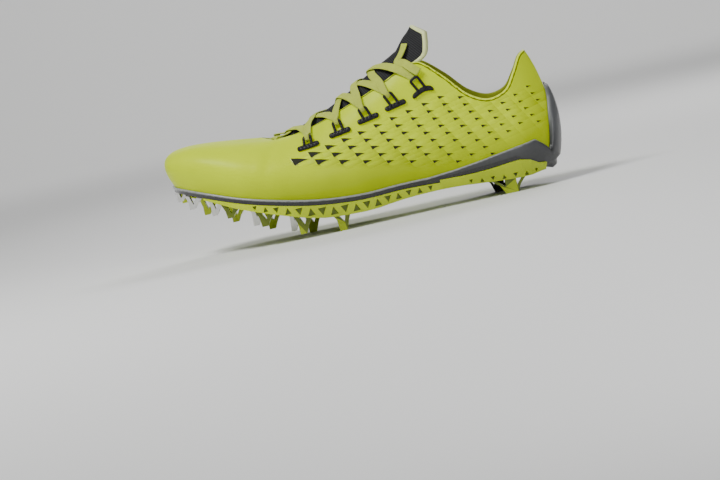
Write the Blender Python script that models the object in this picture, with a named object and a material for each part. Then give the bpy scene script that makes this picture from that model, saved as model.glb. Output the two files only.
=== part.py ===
"""A low-cut football cleat for the left foot: one moulded upper over a stiff sole plate with studs.

Frame: metres, +Z up, the floor at Z = 0. The toe points to -X, the outer (lateral) side to -Y and the inner
(medial) side to +Y. Lengths along the shoe are counted from the front of the toe.
"""

import math

import bmesh
import bpy
import numpy as np
from mathutils import Vector

# Driving sizes
UPPER_LENGTH = 0.2915  # toe front to heel back
BALL_WIDTH = 0.0870  # of the sole line, at the ball of the foot
HEEL_WIDTH = 0.0590  # of the sole line, at the heel
INSTEP_RISE = 0.0885  # top of the throat over the lowest sole line
HEEL_RISE = 0.0800  # tip of the heel tab over the lowest sole line
TOE_SPRING = 0.0338  # front of the sole line over its lowest stretch
SOLE_HEIGHT = 0.0218  # lowest stretch of the sole line over the floor
TOE_X = -0.1485  # front of the toe

UPPER_WALL = 0.0020
GAP = 0.0003  # between pieces that touch
PLATE_THICK = 0.0018
RIM_THICK = 0.0013
RIM_RISE = 0.0023  # of the plate's rim over the sole line, forward of the counter
COUNTER_RISE = 0.0175  # of the counter's side wings over the sole line
SPINE_RISE = 0.0560  # of the counter's back over the sole line
SPINE_THICK = 0.0050
FRAME_DEPTH = 0.0100  # deepest stretch of the moulded frame under the plate
WING_THICK = 0.0014
HEEL_DROP = 0.0048  # of the plate's underside at the heel, inside its edge
PIT_DEPTH = 0.0016  # of the triangular pits in the frame's side
INSOLE_THICK = 0.0030
TONGUE_THICK = 0.0032
TONGUE_SLACK = 0.0017  # between the tongue and the inside of the upper
TONGUE_RISE = 0.0250  # of the tongue's top edge over the collar's front corner
EYELET_WIDTH = 0.0046
LOOP_LENGTH = 0.0170  # of a lace loop's anchor bar
LOOP_BAR = 0.0040  # height of that bar
LOOP_CORD = 0.0021  # width of a loop's cords
LOOP_SPREAD = 0.0058  # between the two cords of a loop
LOOP_REACH = 0.0105  # from the middle of the bar to the lace
LOOP_THICK = 0.0016
LACE_WIDTH = 0.0064
LACE_THICK = 0.0013
LACE_LIFT = 0.0012  # between a band of lace and what it runs over
LACE_END_WIDTH = 0.0032  # thickness of the free end's stand-in
STUD_WIDTH = 0.0100  # across a stud where it leaves the sole

# The loop of the sole line and of everything that stands on it runs from the middle of the toe, share 0, back
# along either side to the middle of the heel, share 1.
ROWS = 40
INSOLE_ROWS = 22
RIM_STEPS = 4  # level lines of the upper that its plate covers
FREE_STEPS = 6  # level lines over those

BALL_HALF = BALL_WIDTH / 2
HEEL_HALF = HEEL_WIDTH / 2

# Sole line: where the upper's edge meets the plate. along is a share of UPPER_LENGTH; lateral and medial are
# shares of half the width that of names; the two rises are shares of TOE_SPRING over SOLE_HEIGHT.
SOLE_LINE = [
    # share, along, lateral, medial, of, lateral_rise, medial_rise
    (0.00, 0.013, +0.23, 0.23, BALL_HALF, 1.00, 1.00),
    (0.05, 0.026, -0.15, 0.58, BALL_HALF, 0.95, 0.93),
    (0.10, 0.062, -0.41, 0.82, BALL_HALF, 0.84, 0.76),
    (0.15, 0.112, -0.63, 0.94, BALL_HALF, 0.69, 0.57),
    (0.20, 0.166, -0.80, 0.99, BALL_HALF, 0.53, 0.41),
    (0.30, 0.269, -0.97, 0.99, BALL_HALF, 0.285, 0.18),
    (0.40, 0.379, -0.975, 0.77, BALL_HALF, 0.09, 0.03),
    (0.50, 0.489, -0.855, 0.56, BALL_HALF, 0.00, 0.00),
    (0.60, 0.595, -0.735, 0.51, BALL_HALF, 0.02, 0.02),
    (0.70, 0.705, -1.00, 0.87, HEEL_HALF, -0.02, -0.02),
    (0.80, 0.815, -1.00, 0.98, HEEL_HALF, -0.09, -0.09),
    (0.90, 0.925, -0.85, 0.85, HEEL_HALF, -0.13, -0.13),
    (0.95, 0.965, -0.54, 0.54, HEEL_HALF, -0.12, -0.12),
    (1.00, 0.985, 0.00, 0.00, HEEL_HALF, -0.10, -0.10),
]

# Top line: the edge of throat and collar. lateral and medial are shares of BALL_HALF, and both heights are
# shares of the rise that of names.
TOP_LINE = [
    # share, along, lateral, medial, of, lateral_height, medial_height
    (0.00, 0.268, +0.09, 0.09, INSTEP_RISE, 0.642, 0.642),
    (0.05, 0.273, -0.01, 0.18, INSTEP_RISE, 0.636, 0.636),
    (0.10, 0.283, -0.08, 0.24, INSTEP_RISE, 0.624, 0.624),
    (0.15, 0.295, -0.14, 0.29, INSTEP_RISE, 0.616, 0.616),
    (0.20, 0.310, -0.18, 0.32, INSTEP_RISE, 0.612, 0.612),
    (0.30, 0.358, -0.28, 0.39, INSTEP_RISE, 0.626, 0.626),
    (0.40, 0.423, -0.38, 0.45, INSTEP_RISE, 0.679, 0.684),
    (0.50, 0.497, -0.44, 0.48, INSTEP_RISE, 0.766, 0.772),
    (0.60, 0.588, -0.46, 0.48, INSTEP_RISE, 0.879, 0.885),
    (0.65, 0.646, -0.47, 0.48, INSTEP_RISE, 0.962, 0.968),
    (0.70, 0.697, -0.50, 0.51, INSTEP_RISE, 0.997, 1.005),
    (0.75, 0.752, -0.62, 0.62, INSTEP_RISE, 0.840, 0.855),
    (0.80, 0.806, -0.68, 0.67, HEEL_RISE, 0.710, 0.735),
    (0.84, 0.852, -0.68, 0.67, HEEL_RISE, 0.631, 0.655),
    (0.88, 0.898, -0.61, 0.60, HEEL_RISE, 0.675, 0.692),
    (0.92, 0.926, -0.44, 0.43, HEEL_RISE, 0.810, 0.818),
    (0.96, 0.949, -0.21, 0.21, HEEL_RISE, 0.953, 0.955),
    (1.00, 0.967, 0.00, 0.00, HEEL_RISE, 1.000, 1.000),
]

# Wall of the upper between those two lines: a cubic curve. Its handles leave the sole line (foot_out, foot_up)
# and the top line (head_out, head_down), as shares of INSTEP_RISE. medial_out scales the outward pair inside.
WALL_LINE = [
    # share, foot_out, foot_up, head_out, head_down, medial_out
    (0.00, 0.215, 0.420, 0.640, -0.080, 1.00),
    (0.10, 0.200, 0.420, 0.520, -0.062, 1.00),
    (0.20, 0.180, 0.380, 0.320, -0.015, 1.00),
    (0.30, 0.150, 0.300, 0.200, 0.045, 1.00),
    (0.40, 0.125, 0.275, 0.170, 0.080, 1.15),
    (0.50, 0.105, 0.275, 0.150, 0.105, 1.45),
    (0.60, 0.090, 0.300, 0.130, 0.140, 1.50),
    (0.70, 0.070, 0.320, 0.090, 0.180, 1.30),
    (0.80, 0.050, 0.230, 0.025, 0.180, 1.10),
    (0.90, 0.070, 0.230, 0.055, 0.200, 1.00),
    (1.00, 0.090, 0.275, 0.130, 0.285, 1.00),
]


def smooth_loop(knots, values):
    """A smooth curve round the shoe through values at knots, from -1 (heel, by the medial side) to 1."""
    knots = np.array(knots, float)
    values = np.array(values, float)
    span = np.roll(knots, -1) - knots
    span[-1] += 2.0
    slope = (np.roll(values, -1, axis=0) - values) / span[:, None]
    back_span = np.roll(span, 1)[:, None]
    back_slope = np.roll(slope, 1, axis=0)
    tangent = (back_slope * span[:, None] + slope * back_span) / (span[:, None] + back_span)

    def at(turn):
        turn = (turn - knots[0]) % 2.0 + knots[0]
        low = int(np.searchsorted(knots, turn, side="right")) - 1
        high = (low + 1) % len(knots)
        t = (turn - knots[low]) / span[low]
        h00 = 2 * t**3 - 3 * t**2 + 1
        h10 = t**3 - 2 * t**2 + t
        h01 = 3 * t**2 - 2 * t**3
        h11 = t**3 - t**2
        return (
            h00 * values[low]
            + h10 * span[low] * tangent[low]
            + h01 * values[high]
            + h11 * span[low] * tangent[high]
        )

    return at


def both_sides(rows, lateral_of, medial_of):
    """The loop through a table's rows: shares are negative on the medial side, positive on the lateral."""
    turns = []
    values = []
    for row in reversed(rows[:-1]):
        if row[0] > 0:
            turns.append(-row[0])
            values.append(medial_of(row))
    for row in rows:
        turns.append(row[0])
        values.append(lateral_of(row))
    return smooth_loop(turns, values)


def sole_row(column, rise_column):
    return lambda row: (
        TOE_X + row[1] * UPPER_LENGTH,
        row[column] * row[4],
        SOLE_HEIGHT + row[rise_column] * TOE_SPRING,
    )


def top_row(column, height_column):
    return lambda row: (
        TOE_X + row[1] * UPPER_LENGTH,
        row[column] * BALL_HALF,
        SOLE_HEIGHT + row[height_column] * row[4],
    )


def wall_row(medial):
    def handles(row):
        out = row[5] if medial else 1.0
        return (
            row[1] * out * INSTEP_RISE,
            row[2] * INSTEP_RISE,
            row[3] * out * INSTEP_RISE,
            row[4] * INSTEP_RISE,
        )

    return handles


sole_line = both_sides(SOLE_LINE, sole_row(2, 5), sole_row(3, 6))
top_line = both_sides(TOP_LINE, top_row(2, 5), top_row(3, 6))
wall_line = both_sides(WALL_LINE, wall_row(False), wall_row(True))

UP = np.array([0.0, 0.0, 1.0])


def flat(vector):
    """The level direction of a vector."""
    level = np.array([vector[0], vector[1], 0.0])
    return level / np.linalg.norm(level)


def outward(turn):
    """The level direction that points away from the shoe at the sole line."""
    step = 0.004
    run = sole_line(turn + step) - sole_line(turn - step)
    return flat((run[1], -run[0]))


def upper_point(turn, level):
    """A point on the outside of the upper: level 0 at the sole line, 1 at the top line."""
    foot = sole_line(turn)
    head = top_line(turn)
    foot_out, foot_up, head_out, head_down = wall_line(turn)
    first = foot + outward(turn) * foot_out + UP * foot_up
    second = head + flat(foot - head) * head_out - UP * head_down
    t = level
    return (
        (1 - t) ** 3 * foot
        + 3 * t * (1 - t) ** 2 * first
        + 3 * t**2 * (1 - t) * second
        + t**3 * head
    )


def upper_normal(turn, level):
    """The outward normal of the upper at that point."""
    step = 0.004
    along = upper_point(turn + step, level) - upper_point(turn - step, level)
    low = max(level - step, 0.0)
    high = min(level + step, 1.0)
    climb = upper_point(turn, high) - upper_point(turn, low)
    normal = np.cross(along, climb)
    return normal / np.linalg.norm(normal)


def shares_along(steps):
    """Shares from toe to heel, closer together at both ends where the outline turns fast."""
    return [(1 - math.cos(math.pi * i / steps)) / 2 * 0.45 + i / steps * 0.55 for i in range(steps + 1)]


def turns_round():
    """The stations round the shoe: back along the lateral side, forward along the medial one."""
    shares = shares_along(ROWS)
    return shares + [-share for share in shares[-2:0:-1]]


def level_at(turn, rise):
    """The level of the upper that lies so far over its sole line."""
    low = 0.0
    high = 0.95
    goal = sole_line(turn)[2] + rise
    for _ in range(24):
        middle = (low + high) / 2
        if upper_point(turn, middle)[2] < goal:
            low = middle
        else:
            high = middle
    return (low + high) / 2


def turn_at(side, along, level):
    """The station on one side, 1 lateral or -1 medial, where a level of the upper reaches so far along."""
    low = 0.02
    high = 0.98
    for _ in range(24):
        middle = (low + high) / 2
        if upper_point(side * middle, level)[0] < along:
            low = middle
        else:
            high = middle
    return side * (low + high) / 2


# Counter: the plate's rim. side_rise and back_rise are shares of COUNTER_RISE and SPINE_RISE that add to
# RIM_RISE, and thick is the share of SPINE_THICK that adds to RIM_THICK.
COUNTER = [
    # share, side_rise, back_rise, thick
    (0.00, 0.00, 0.00, 0.00),
    (0.60, 0.00, 0.00, 0.00),
    (0.66, 0.03, 0.00, 0.02),
    (0.72, 0.20, 0.00, 0.04),
    (0.80, 0.55, 0.00, 0.08),
    (0.87, 0.88, 0.00, 0.12),
    (0.915, 1.03, 0.00, 0.18),
    (0.940, 0.66, 0.00, 0.30),
    (0.957, 0.10, 0.06, 0.55),
    (0.975, 0.00, 0.60, 0.90),
    (1.00, 0.00, 1.00, 1.05),
]


def column(rows, index, share):
    """A table's column, read straight between its rows."""
    return float(np.interp(share, [row[0] for row in rows], [row[index] for row in rows]))


def rim_rise(turn):
    share = abs(turn)
    return (
        RIM_RISE
        + column(COUNTER, 1, share) * (COUNTER_RISE - RIM_RISE)
        + column(COUNTER, 2, share) * (SPINE_RISE - RIM_RISE)
    )


def rim_thick(turn):
    return RIM_THICK + column(COUNTER, 3, abs(turn)) * (SPINE_THICK - RIM_THICK)


def level_lines(turn):
    """The levels that the upper is built on: a few up to the plate's rim and the rest over it."""
    top = level_at(turn, rim_rise(turn))
    lines = [top * k / RIM_STEPS for k in range(RIM_STEPS)]
    return lines + [top + (1 - top) * k / FREE_STEPS for k in range(FREE_STEPS + 1)]


def rim_swell(turn, k):
    """The thickness of the plate's rim at one of those levels: thin at the top, thickest further down."""
    swell = math.sin(math.pi * (0.02 + 0.72 * (1 - k / RIM_STEPS) ** 0.6))
    return RIM_THICK + (rim_thick(turn) - RIM_THICK) * swell


parts = bpy.data.collections.new("parts")
cutters = bpy.data.collections.new("cutters")


def clear_scene():
    for item in list(bpy.data.objects):
        bpy.data.objects.remove(item, do_unlink=True)
    bpy.context.scene.collection.children.link(parts)
    bpy.context.scene.collection.children.link(cutters)


def finish(name, colour, roughness, metallic=0.0):
    material = bpy.data.materials.new(name)
    material.use_nodes = True
    shader = material.node_tree.nodes["Principled BSDF"]
    shader.inputs["Base Color"].default_value = (*colour, 1.0)
    shader.inputs["Roughness"].default_value = roughness
    shader.inputs["Metallic"].default_value = metallic
    return material


def add_object(name, form, material=None, cutter=False):
    """An object from a bmesh, with doubled points joined and its faces turned outward."""
    bmesh.ops.remove_doubles(form, verts=form.verts[:], dist=0.00002)
    bmesh.ops.recalc_face_normals(form, faces=form.faces[:])
    mesh = bpy.data.meshes.new(name)
    form.to_mesh(mesh)
    form.free()
    item = bpy.data.objects.new(name, mesh)
    if cutter:
        cutters.objects.link(item)
        item.hide_render = True
        item.display_type = "WIRE"
    else:
        parts.objects.link(item)
        mesh.materials.append(material)
    return item


def add_face(form, points):
    """A face through these points, where they still make one once equal ones are dropped."""
    kept = []
    for point in points:
        if point not in kept:
            kept.append(point)
    if len(kept) > 2 and form.faces.get(kept) is None:
        form.faces.new(kept)


def slab(outer, inner, cells=None, wrap=False):
    """A closed sheet of real thickness between two grids of points, over the cells that it names."""
    form = bmesh.new()
    rows = len(outer)
    columns = len(outer[0])
    last = rows if wrap else rows - 1
    if cells is None:
        cells = {(i, j) for i in range(last) for j in range(columns - 1)}
    seen = {}

    def vertex(side, i, j):
        i = i % rows
        point = (outer if side else inner)[i][j]
        key = (side, tuple(np.round(np.array(point), 6)))
        if key not in seen:
            seen[key] = form.verts.new(Vector(point))
        return seen[key]

    edges = {}
    for i, j in sorted(cells):
        corners = [(i, j), (i + 1, j), (i + 1, j + 1), (i, j + 1)]
        add_face(form, [vertex(1, *corner) for corner in corners])
        add_face(form, [vertex(0, *corner) for corner in reversed(corners)])
        for start, end in zip(corners, corners[1:] + corners[:1]):
            ends = (vertex(1, *start), vertex(1, *end))
            if ends[0] is ends[1]:
                continue
            key = frozenset(point.index if point.index >= 0 else id(point) for point in ends)
            edges.setdefault(key, []).append((start, end))
    for found in edges.values():
        if len(found) == 1:
            start, end = found[0]
            add_face(
                form,
                [vertex(1, *end), vertex(1, *start), vertex(0, *start), vertex(0, *end)],
            )
    return form


def prism(base, tip):
    """A closed solid between two outlines with as many points each."""
    form = bmesh.new()
    low = [form.verts.new(Vector(point)) for point in base]
    high = [form.verts.new(Vector(point)) for point in tip]
    form.faces.new(low[::-1])
    form.faces.new(high)
    for i, point in enumerate(low):
        j = (i + 1) % len(low)
        form.faces.new([point, low[j], high[j], high[i]])
    return form


def apply_boolean(item, tool, operation):
    step = item.modifiers.new(tool.name, "BOOLEAN")
    step.operation = operation
    step.solver = "EXACT"
    step.object = tool


def make_upper(material):
    """One hollow moulded upper, open at the collar, down the throat and underneath."""
    outer = []
    inner = []
    for turn in turns_round():
        levels = level_lines(turn)
        outer.append([upper_point(turn, level) for level in levels])
        inner.append(
            [upper_point(turn, level) - upper_normal(turn, level) * UPPER_WALL for level in levels]
        )
    upper = add_object("upper", slab(outer, inner, wrap=True), material)
    for side, name in ((1, "lateral"), (-1, "medial")):
        turn = turn_at(side, TOE_X + EYELET_ALONG * UPPER_LENGTH, EYELET_LEVEL)
        centre = upper_point(turn, EYELET_LEVEL)
        normal = upper_normal(turn, EYELET_LEVEL)
        first = np.cross(normal, UP)
        first /= np.linalg.norm(first)
        second = np.cross(normal, first)
        ring = []
        for i in range(12):
            angle = 2 * math.pi * i / 12
            ring.append(
                centre + (first * math.cos(angle) + second * math.sin(angle)) * EYELET_WIDTH / 2
            )
        reach = normal * UPPER_WALL * 2
        tool = add_object(
            f"cut_eyelet_{name}",
            prism([point - reach for point in ring], [point + reach for point in ring]),
            cutter=True,
        )
        apply_boolean(upper, tool, "DIFFERENCE")
    return upper


EYELET_ALONG = 0.297
EYELET_LEVEL = 0.935
ACROSS = 6  # steps across the bottom


def across_row(lateral, medial, steps=ACROSS):
    """Points straight across the foot from its lateral side to its medial side."""
    return [lateral + (medial - lateral) * j / steps for j in range(steps + 1)]


# How far the plate's underside drops at the heel, as a share of HEEL_DROP.
HEEL_UNDERSIDE = [
    # share, drop
    (0.885, 0.00),
    (0.930, 0.50),
    (0.960, 1.00),
    (0.985, 0.70),
    (1.00, 0.00),
]


def heel_drop(share, across):
    """The drop at a place across the plate: none at its edges, all of it a step in from them."""
    inside = min(across, 1 - across) * ACROSS
    return HEEL_DROP * column(HEEL_UNDERSIDE, 1, share) * min(max(inside, 0.0), 1.0)


def under_plate(share, across):
    """The underside of the plate: across runs from 0 at its medial edge to 1 at its lateral edge."""
    edges = []
    for turn in (share, -share):
        edges.append(sole_line(turn) + outward(turn) * (GAP + RIM_THICK))
    place = edges[1] + (edges[0] - edges[1]) * across
    return place - UP * (GAP + PLATE_THICK + heel_drop(share, across))


def make_plate(material):
    """The stiff dark plate under the foot, with its rim and the heel counter that the rim rises to."""
    outer = []
    inner = []
    for share in shares_along(ROWS):
        sides = []
        for turn in (share, -share):
            foot = sole_line(turn)
            out = outward(turn)
            inside = []
            outside = []
            lines = level_lines(turn)
            for k in range(RIM_STEPS, 0, -1):
                normal = upper_normal(turn, lines[k])
                place = upper_point(turn, lines[k])
                inside.append(place + normal * GAP)
                outside.append(place + normal * (GAP + rim_swell(turn, k)))
            corner = foot + out * GAP - UP * GAP
            edge = foot + out * (GAP + RIM_THICK) - UP * (GAP + PLATE_THICK)
            sides.append((inside + [corner], outside + [edge]))
        (in_lateral, out_lateral), (in_medial, out_medial) = sides
        floor = across_row(in_lateral[-1], in_medial[-1])
        under = [under_plate(share, 1 - j / ACROSS) for j in range(ACROSS + 1)]
        inner.append(in_lateral[:-1] + floor + in_medial[:-1][::-1])
        outer.append(out_lateral[:-1] + under + out_medial[:-1][::-1])
    return add_object("sole_plate", slab(outer, inner), material)


def make_insole(material):
    """The insole, which lies on the plate inside the upper."""
    inset = UPPER_WALL + 2 * GAP
    top = []
    bottom = []
    for share in shares_along(INSOLE_ROWS):
        lateral, medial = (sole_line(turn) - outward(turn) * inset for turn in (share, -share))
        row = across_row(lateral, medial, 4)
        bottom.append(row)
        top.append([point + UP * INSOLE_THICK for point in row])
    return add_object("insole", slab(top, bottom), material)


# Moulded frame under the plate. lateral and medial are the depth at either edge as shares of FRAME_DEPTH;
# lateral_in and medial_in are the inner edges of the two arms across the foot, from 0 at the medial edge to 1
# at the lateral edge; wing is how far the side wing climbs the counter, as a share of it.
FRAME = [
    # share, lateral, medial, lateral_in, medial_in, wing
    (0.040, 0.10, 0.30, 0.80, 0.20, 0.00),
    (0.140, 0.16, 0.45, 0.78, 0.24, 0.00),
    (0.200, 0.40, 0.55, 0.74, 0.27, 0.00),
    (0.280, 0.62, 0.72, 0.70, 0.28, 0.00),
    (0.360, 0.88, 0.90, 0.67, 0.30, 0.00),
    (0.410, 0.98, 0.98, 0.64, 0.33, 0.00),
    (0.460, 0.92, 0.92, 0.60, 0.38, 0.00),
    (0.520, 0.88, 0.88, 0.55, 0.45, 0.00),
    (0.600, 0.70, 0.70, 0.50, 0.50, 0.00),
    (0.680, 0.52, 0.52, 0.47, 0.28, 0.02),
    (0.740, 0.46, 0.46, 0.50, 0.20, 0.12),
    (0.800, 0.48, 0.46, 0.54, 0.20, 0.26),
    (0.860, 0.52, 0.48, 0.58, 0.20, 0.40),
    (0.885, 0.52, 0.48, 0.60, 0.20, 0.36),
    (0.915, 0.40, 0.42, 0.66, 0.20, 0.06),
    (0.950, 0.30, 0.42, 0.80, 0.20, 0.01),
]
ARM_STEPS = 3
LATERAL_START = 0.14
MEDIAL_START = 0.045
JOIN_START = 0.53
JOIN_END = 0.66
MEDIAL_END = 0.72
FRAME_END = 0.950
THINNEST = 0.0012
WING_START = 0.68
WING_FADE = 0.10  # of the length over which the wing reaches its full thickness


def frame_depth(share, across):
    lateral = column(FRAME, 1, share)
    medial = column(FRAME, 2, share)
    depth = (medial + (lateral - medial) * across) * FRAME_DEPTH
    return max(depth - 0.8 * heel_drop(share, across), THINNEST)


def make_frame(material):
    """The moulded frame: one arm down either side of the forefoot, joined at the waist, and the heel."""
    shares = [share for share in shares_along(ROWS) if MEDIAL_START < share < FRAME_END]
    last = len(shares) - 1
    top = []
    bottom = []
    cells = set()
    for i, share in enumerate(shares):
        lateral_in = column(FRAME, 3, share)
        medial_in = column(FRAME, 4, share)
        middle = (shares[i] + shares[min(i + 1, last)]) / 2
        step = 1 / ACROSS
        acrosses = [0.0, step, (step + medial_in) / 2, medial_in]
        acrosses += [lateral_in, (lateral_in + 1 - step) / 2, 1 - step, 1.0]
        upper_row = [under_plate(share, across) - UP * GAP for across in acrosses]
        lower_row = [
            point - UP * frame_depth(share, across)
            for point, across in zip(upper_row, acrosses)
        ]
        lines = level_lines(share)
        climb = column(FRAME, 5, share) * RIM_STEPS
        for k in (1, 2):
            line = climb * k / 2
            level = float(np.interp(line, range(len(lines)), lines))
            place = upper_point(share, level)
            normal = upper_normal(share, level)
            skin = GAP * 2 + rim_swell(share, line)
            fade = min(max((share - WING_START) / WING_FADE, 0.25), 1.0)
            upper_row.append(place + normal * skin)
            lower_row.append(place + normal * (skin + WING_THICK * fade))
        top.append(upper_row)
        bottom.append(lower_row)
        if i == last:
            break
        for j in range(ARM_STEPS):
            if middle < MEDIAL_END:
                cells.add((i, j))
            if middle > LATERAL_START:
                cells.add((i, ARM_STEPS + 1 + j))
        if JOIN_START < middle < JOIN_END:
            cells.add((i, ARM_STEPS))
        if middle > WING_START:
            cells.add((i, 2 * ARM_STEPS + 1))
            cells.add((i, 2 * ARM_STEPS + 2))
    return add_object("outsole_frame", slab(bottom, top, cells), material)


# Studs. along is a share of UPPER_LENGTH from the toe, across a share of BALL_HALF (lateral is negative) and
# height the tip's share of TOE_SPRING over the floor; front and rear are the spread of its two legs, tip the
# length of its flat end and post the width of a middle leg, as shares of STUD_WIDTH; lean is the tilt of the tip
# to the toe, in degrees.
STUDS = [
    # name, along, across, height, front, rear, tip, post, lean
    ("lateral_1", 0.148, -0.620, 0.781, 0.80, 0.70, 0.42, 0.0, 13.0),
    ("lateral_2", 0.232, -0.790, 0.453, 0.95, 0.75, 0.44, 0.0, 13.0),
    ("lateral_3", 0.324, -0.815, 0.118, 1.05, 0.70, 0.46, 0.0, 12.5),
    ("lateral_4", 0.425, -0.790, 0.000, 1.15, 0.55, 0.52, 0.0, 11.0),
    ("medial_1", 0.022, 0.560, 1.252, 0.45, 0.70, 0.38, 0.0, 16.0),
    ("medial_2", 0.070, 0.740, 0.870, 0.70, 0.75, 0.42, 0.0, 14.0),
    ("medial_3", 0.138, 0.820, 0.571, 0.85, 0.75, 0.44, 0.0, 14.0),
    ("medial_4", 0.228, 0.800, 0.243, 0.95, 0.75, 0.46, 0.0, 13.0),
    ("medial_5", 0.333, 0.540, 0.000, 1.05, 0.70, 0.52, 0.0, 12.5),
    ("heel_lateral", 0.862, -0.530, 0.000, 1.75, 1.35, 0.90, 0.85, 2.0),
]
CENTRE_STUDS = [
    ("stud_toe_1", 0.016, 0.270, 1.315, 0.45, 0.60, 0.38, 0.0, 16.0),
    ("stud_toe_2", 0.051, -0.221, 1.120, 0.60, 0.65, 0.38, 0.0, 14.0),
    ("stud_centre_1", 0.100, 0.037, 0.861, 0.65, 0.65, 0.38, 0.0, 14.0),
    ("stud_centre_2", 0.201, -0.113, 0.459, 0.65, 0.65, 0.38, 0.0, 13.0),
    ("stud_centre_3", 0.293, -0.131, 0.166, 0.65, 0.65, 0.38, 0.0, 12.5),
]
HEEL_STUD = ("heel_medial", 0.831, 0.530, 0.000, 1.20, 1.30, 0.80, 0.75, 2.0)
FRONT_LEG = 0.30  # thickness of a stud's front leg at the sole, as a share of STUD_WIDTH
REAR_LEG = 0.42  # the same for its rear leg
NOTCH = 0.40  # how far up from the tip the gap between the legs starts


def share_and_across(along, across):
    """The share of the sole line, and the place across the plate, under a point of the plan."""
    low = 0.0
    high = 1.0
    for _ in range(24):
        share = (low + high) / 2
        medial = under_plate(share, 0.0)
        lateral = under_plate(share, 1.0)
        part = (across - medial[1]) / min(lateral[1] - medial[1], -0.001)
        part = min(max(part, 0.0), 1.0)
        if (medial + (lateral - medial) * part)[0] < along:
            low = share
        else:
            high = share
    return share, part


def stud(row, sunk):
    """A stud on two legs. sunk gives how far under the plate its top lies at a share and place across."""
    name, along, across, height, front, rear, tip_length, post, lean = row
    tip = np.array([TOE_X + along * UPPER_LENGTH, across * BALL_HALF, height * TOE_SPRING])
    tilt = math.radians(lean)
    axis = np.array([math.sin(tilt), 0.0, math.cos(tilt)])
    level = np.array([math.cos(tilt), 0.0, -math.sin(tilt)])

    def climb(offset):
        reach = SOLE_HEIGHT / 2
        for _ in range(8):
            place = tip + level * offset + axis * reach
            share, part = share_and_across(place[0], place[1])
            goal = min(
                under_plate(*share_and_across(place[0], place[1] + side * STUD_WIDTH / 2))[2]
                for side in (-1, 0, 1)
            )
            goal -= sunk(share, part)
            reach += (goal - place[2]) / axis[2]
        return reach

    half = tip_length * STUD_WIDTH / 2
    ends = (-front * STUD_WIDTH, rear * STUD_WIDTH)
    front_leg = FRONT_LEG * STUD_WIDTH
    rear_leg = REAR_LEG * STUD_WIDTH * (0.7 if post else 1.0)
    tall = climb(0.0)
    slope = math.tan(tilt)
    profile = [
        (-half, -half * slope),
        (half, half * slope),
        (half + (ends[1] - half) * 0.30, tall * 0.45),
        (ends[1], climb(ends[1])),
        (ends[1] - rear_leg, climb(ends[1] - rear_leg)),
    ]
    if post:
        mid = post * STUD_WIDTH / 2
        profile += [(mid, tall * NOTCH), (mid, climb(mid)), (-mid, climb(-mid)), (-mid, tall * NOTCH)]
    else:
        profile.append((half * 0.25, tall * NOTCH))
    profile += [
        (ends[0] + front_leg, climb(ends[0] + front_leg)),
        (ends[0], climb(ends[0])),
        (-half + (ends[0] + half) * 0.30, tall * 0.50),
    ]
    sides = []
    for side in (-1, 1):
        points = []
        for offset, reach in profile:
            wide = STUD_WIDTH * (0.28 + 0.22 * reach / tall)
            points.append(tip + level * offset + axis * reach + np.array([0.0, side * wide, 0.0]))
        sides.append(points)
    return prism(*sides)


def make_frame_studs(frame):
    for row in STUDS:
        tool = add_object(
            f"join_{row[0]}",
            stud(row, lambda share, part: GAP + 0.5 * frame_depth(share, part)),
            cutter=True,
        )
        apply_boolean(frame, tool, "UNION")


def make_centre_studs(material):
    for row in CENTRE_STUDS:
        add_object(row[0], stud(row, lambda share, part: 2 * GAP), material)


# Triangular pits in the frame's sides: each row gives the first and last share, and how many lie between.
PITS = [
    # side, first, last, count
    (1, 0.250, 0.660, 17),
    (1, 0.755, 0.905, 7),
    (-1, 0.180, 0.640, 14),
]
PIT_SPAN = 0.62  # height of a pit, as a share of the frame's depth there


def make_pits(frame):
    """Cuts rows of triangular pits into the frame's sides, one point up and the next one down."""
    form = bmesh.new()
    for side, first, last, count in PITS:
        for i in range(count):
            share = first + (last - first) * i / (count - 1)
            across = 1.0 if side > 0 else 0.0
            depth = frame_depth(share, across)
            out = outward(side * share)
            run = np.cross(out, UP)
            centre = under_plate(share, across) - UP * (GAP + depth / 2)
            half = PIT_SPAN * depth / 2
            way = 1.0 if i % 2 else -1.0
            points = [(-half * 1.05, -half * way), (half * 1.05, -half * way), (0.0, half * way)]
            ring = [centre + run * a + UP * b for a, b in points]
            ends = []
            for reach in (-PIT_DEPTH, PIT_DEPTH * 2):
                ends.append([form.verts.new(Vector(point + out * reach)) for point in ring])
            form.faces.new(ends[0][::-1])
            form.faces.new(ends[1])
            for k in range(3):
                n = (k + 1) % 3
                form.faces.new([ends[0][k], ends[0][n], ends[1][n], ends[1][k]])
    apply_boolean(frame, add_object("cut_pits", form, cutter=True), "DIFFERENCE")


HEEL_PAD = (0.745, 0.93)  # shares between which the medial heel pad lies
PAD_INSET = 0.06  # of it across the foot, from the frame


def make_heel_pad(material):
    """The dark pad and stud under the medial side of the heel."""
    top = []
    bottom = []
    for share in shares_along(ROWS):
        if HEEL_PAD[0] < share < HEEL_PAD[1]:
            width = column(FRAME, 3, share) - PAD_INSET
            acrosses = (0.0, 1 / ACROSS, (1 / ACROSS + width) / 2, width)
            row = [under_plate(share, across) - UP * GAP for across in acrosses]
            top.append(row)
            bottom.append(
                [point - UP * frame_depth(share, across) for point, across in zip(row, acrosses)]
            )
    pad = add_object("heel_pad_medial", slab(bottom, top), material)
    tool = add_object(
        "join_heel_medial",
        stud(HEEL_STUD, lambda share, part: GAP + 0.5 * frame_depth(share, part)),
        cutter=True,
    )
    apply_boolean(pad, tool, "UNION")


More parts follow.
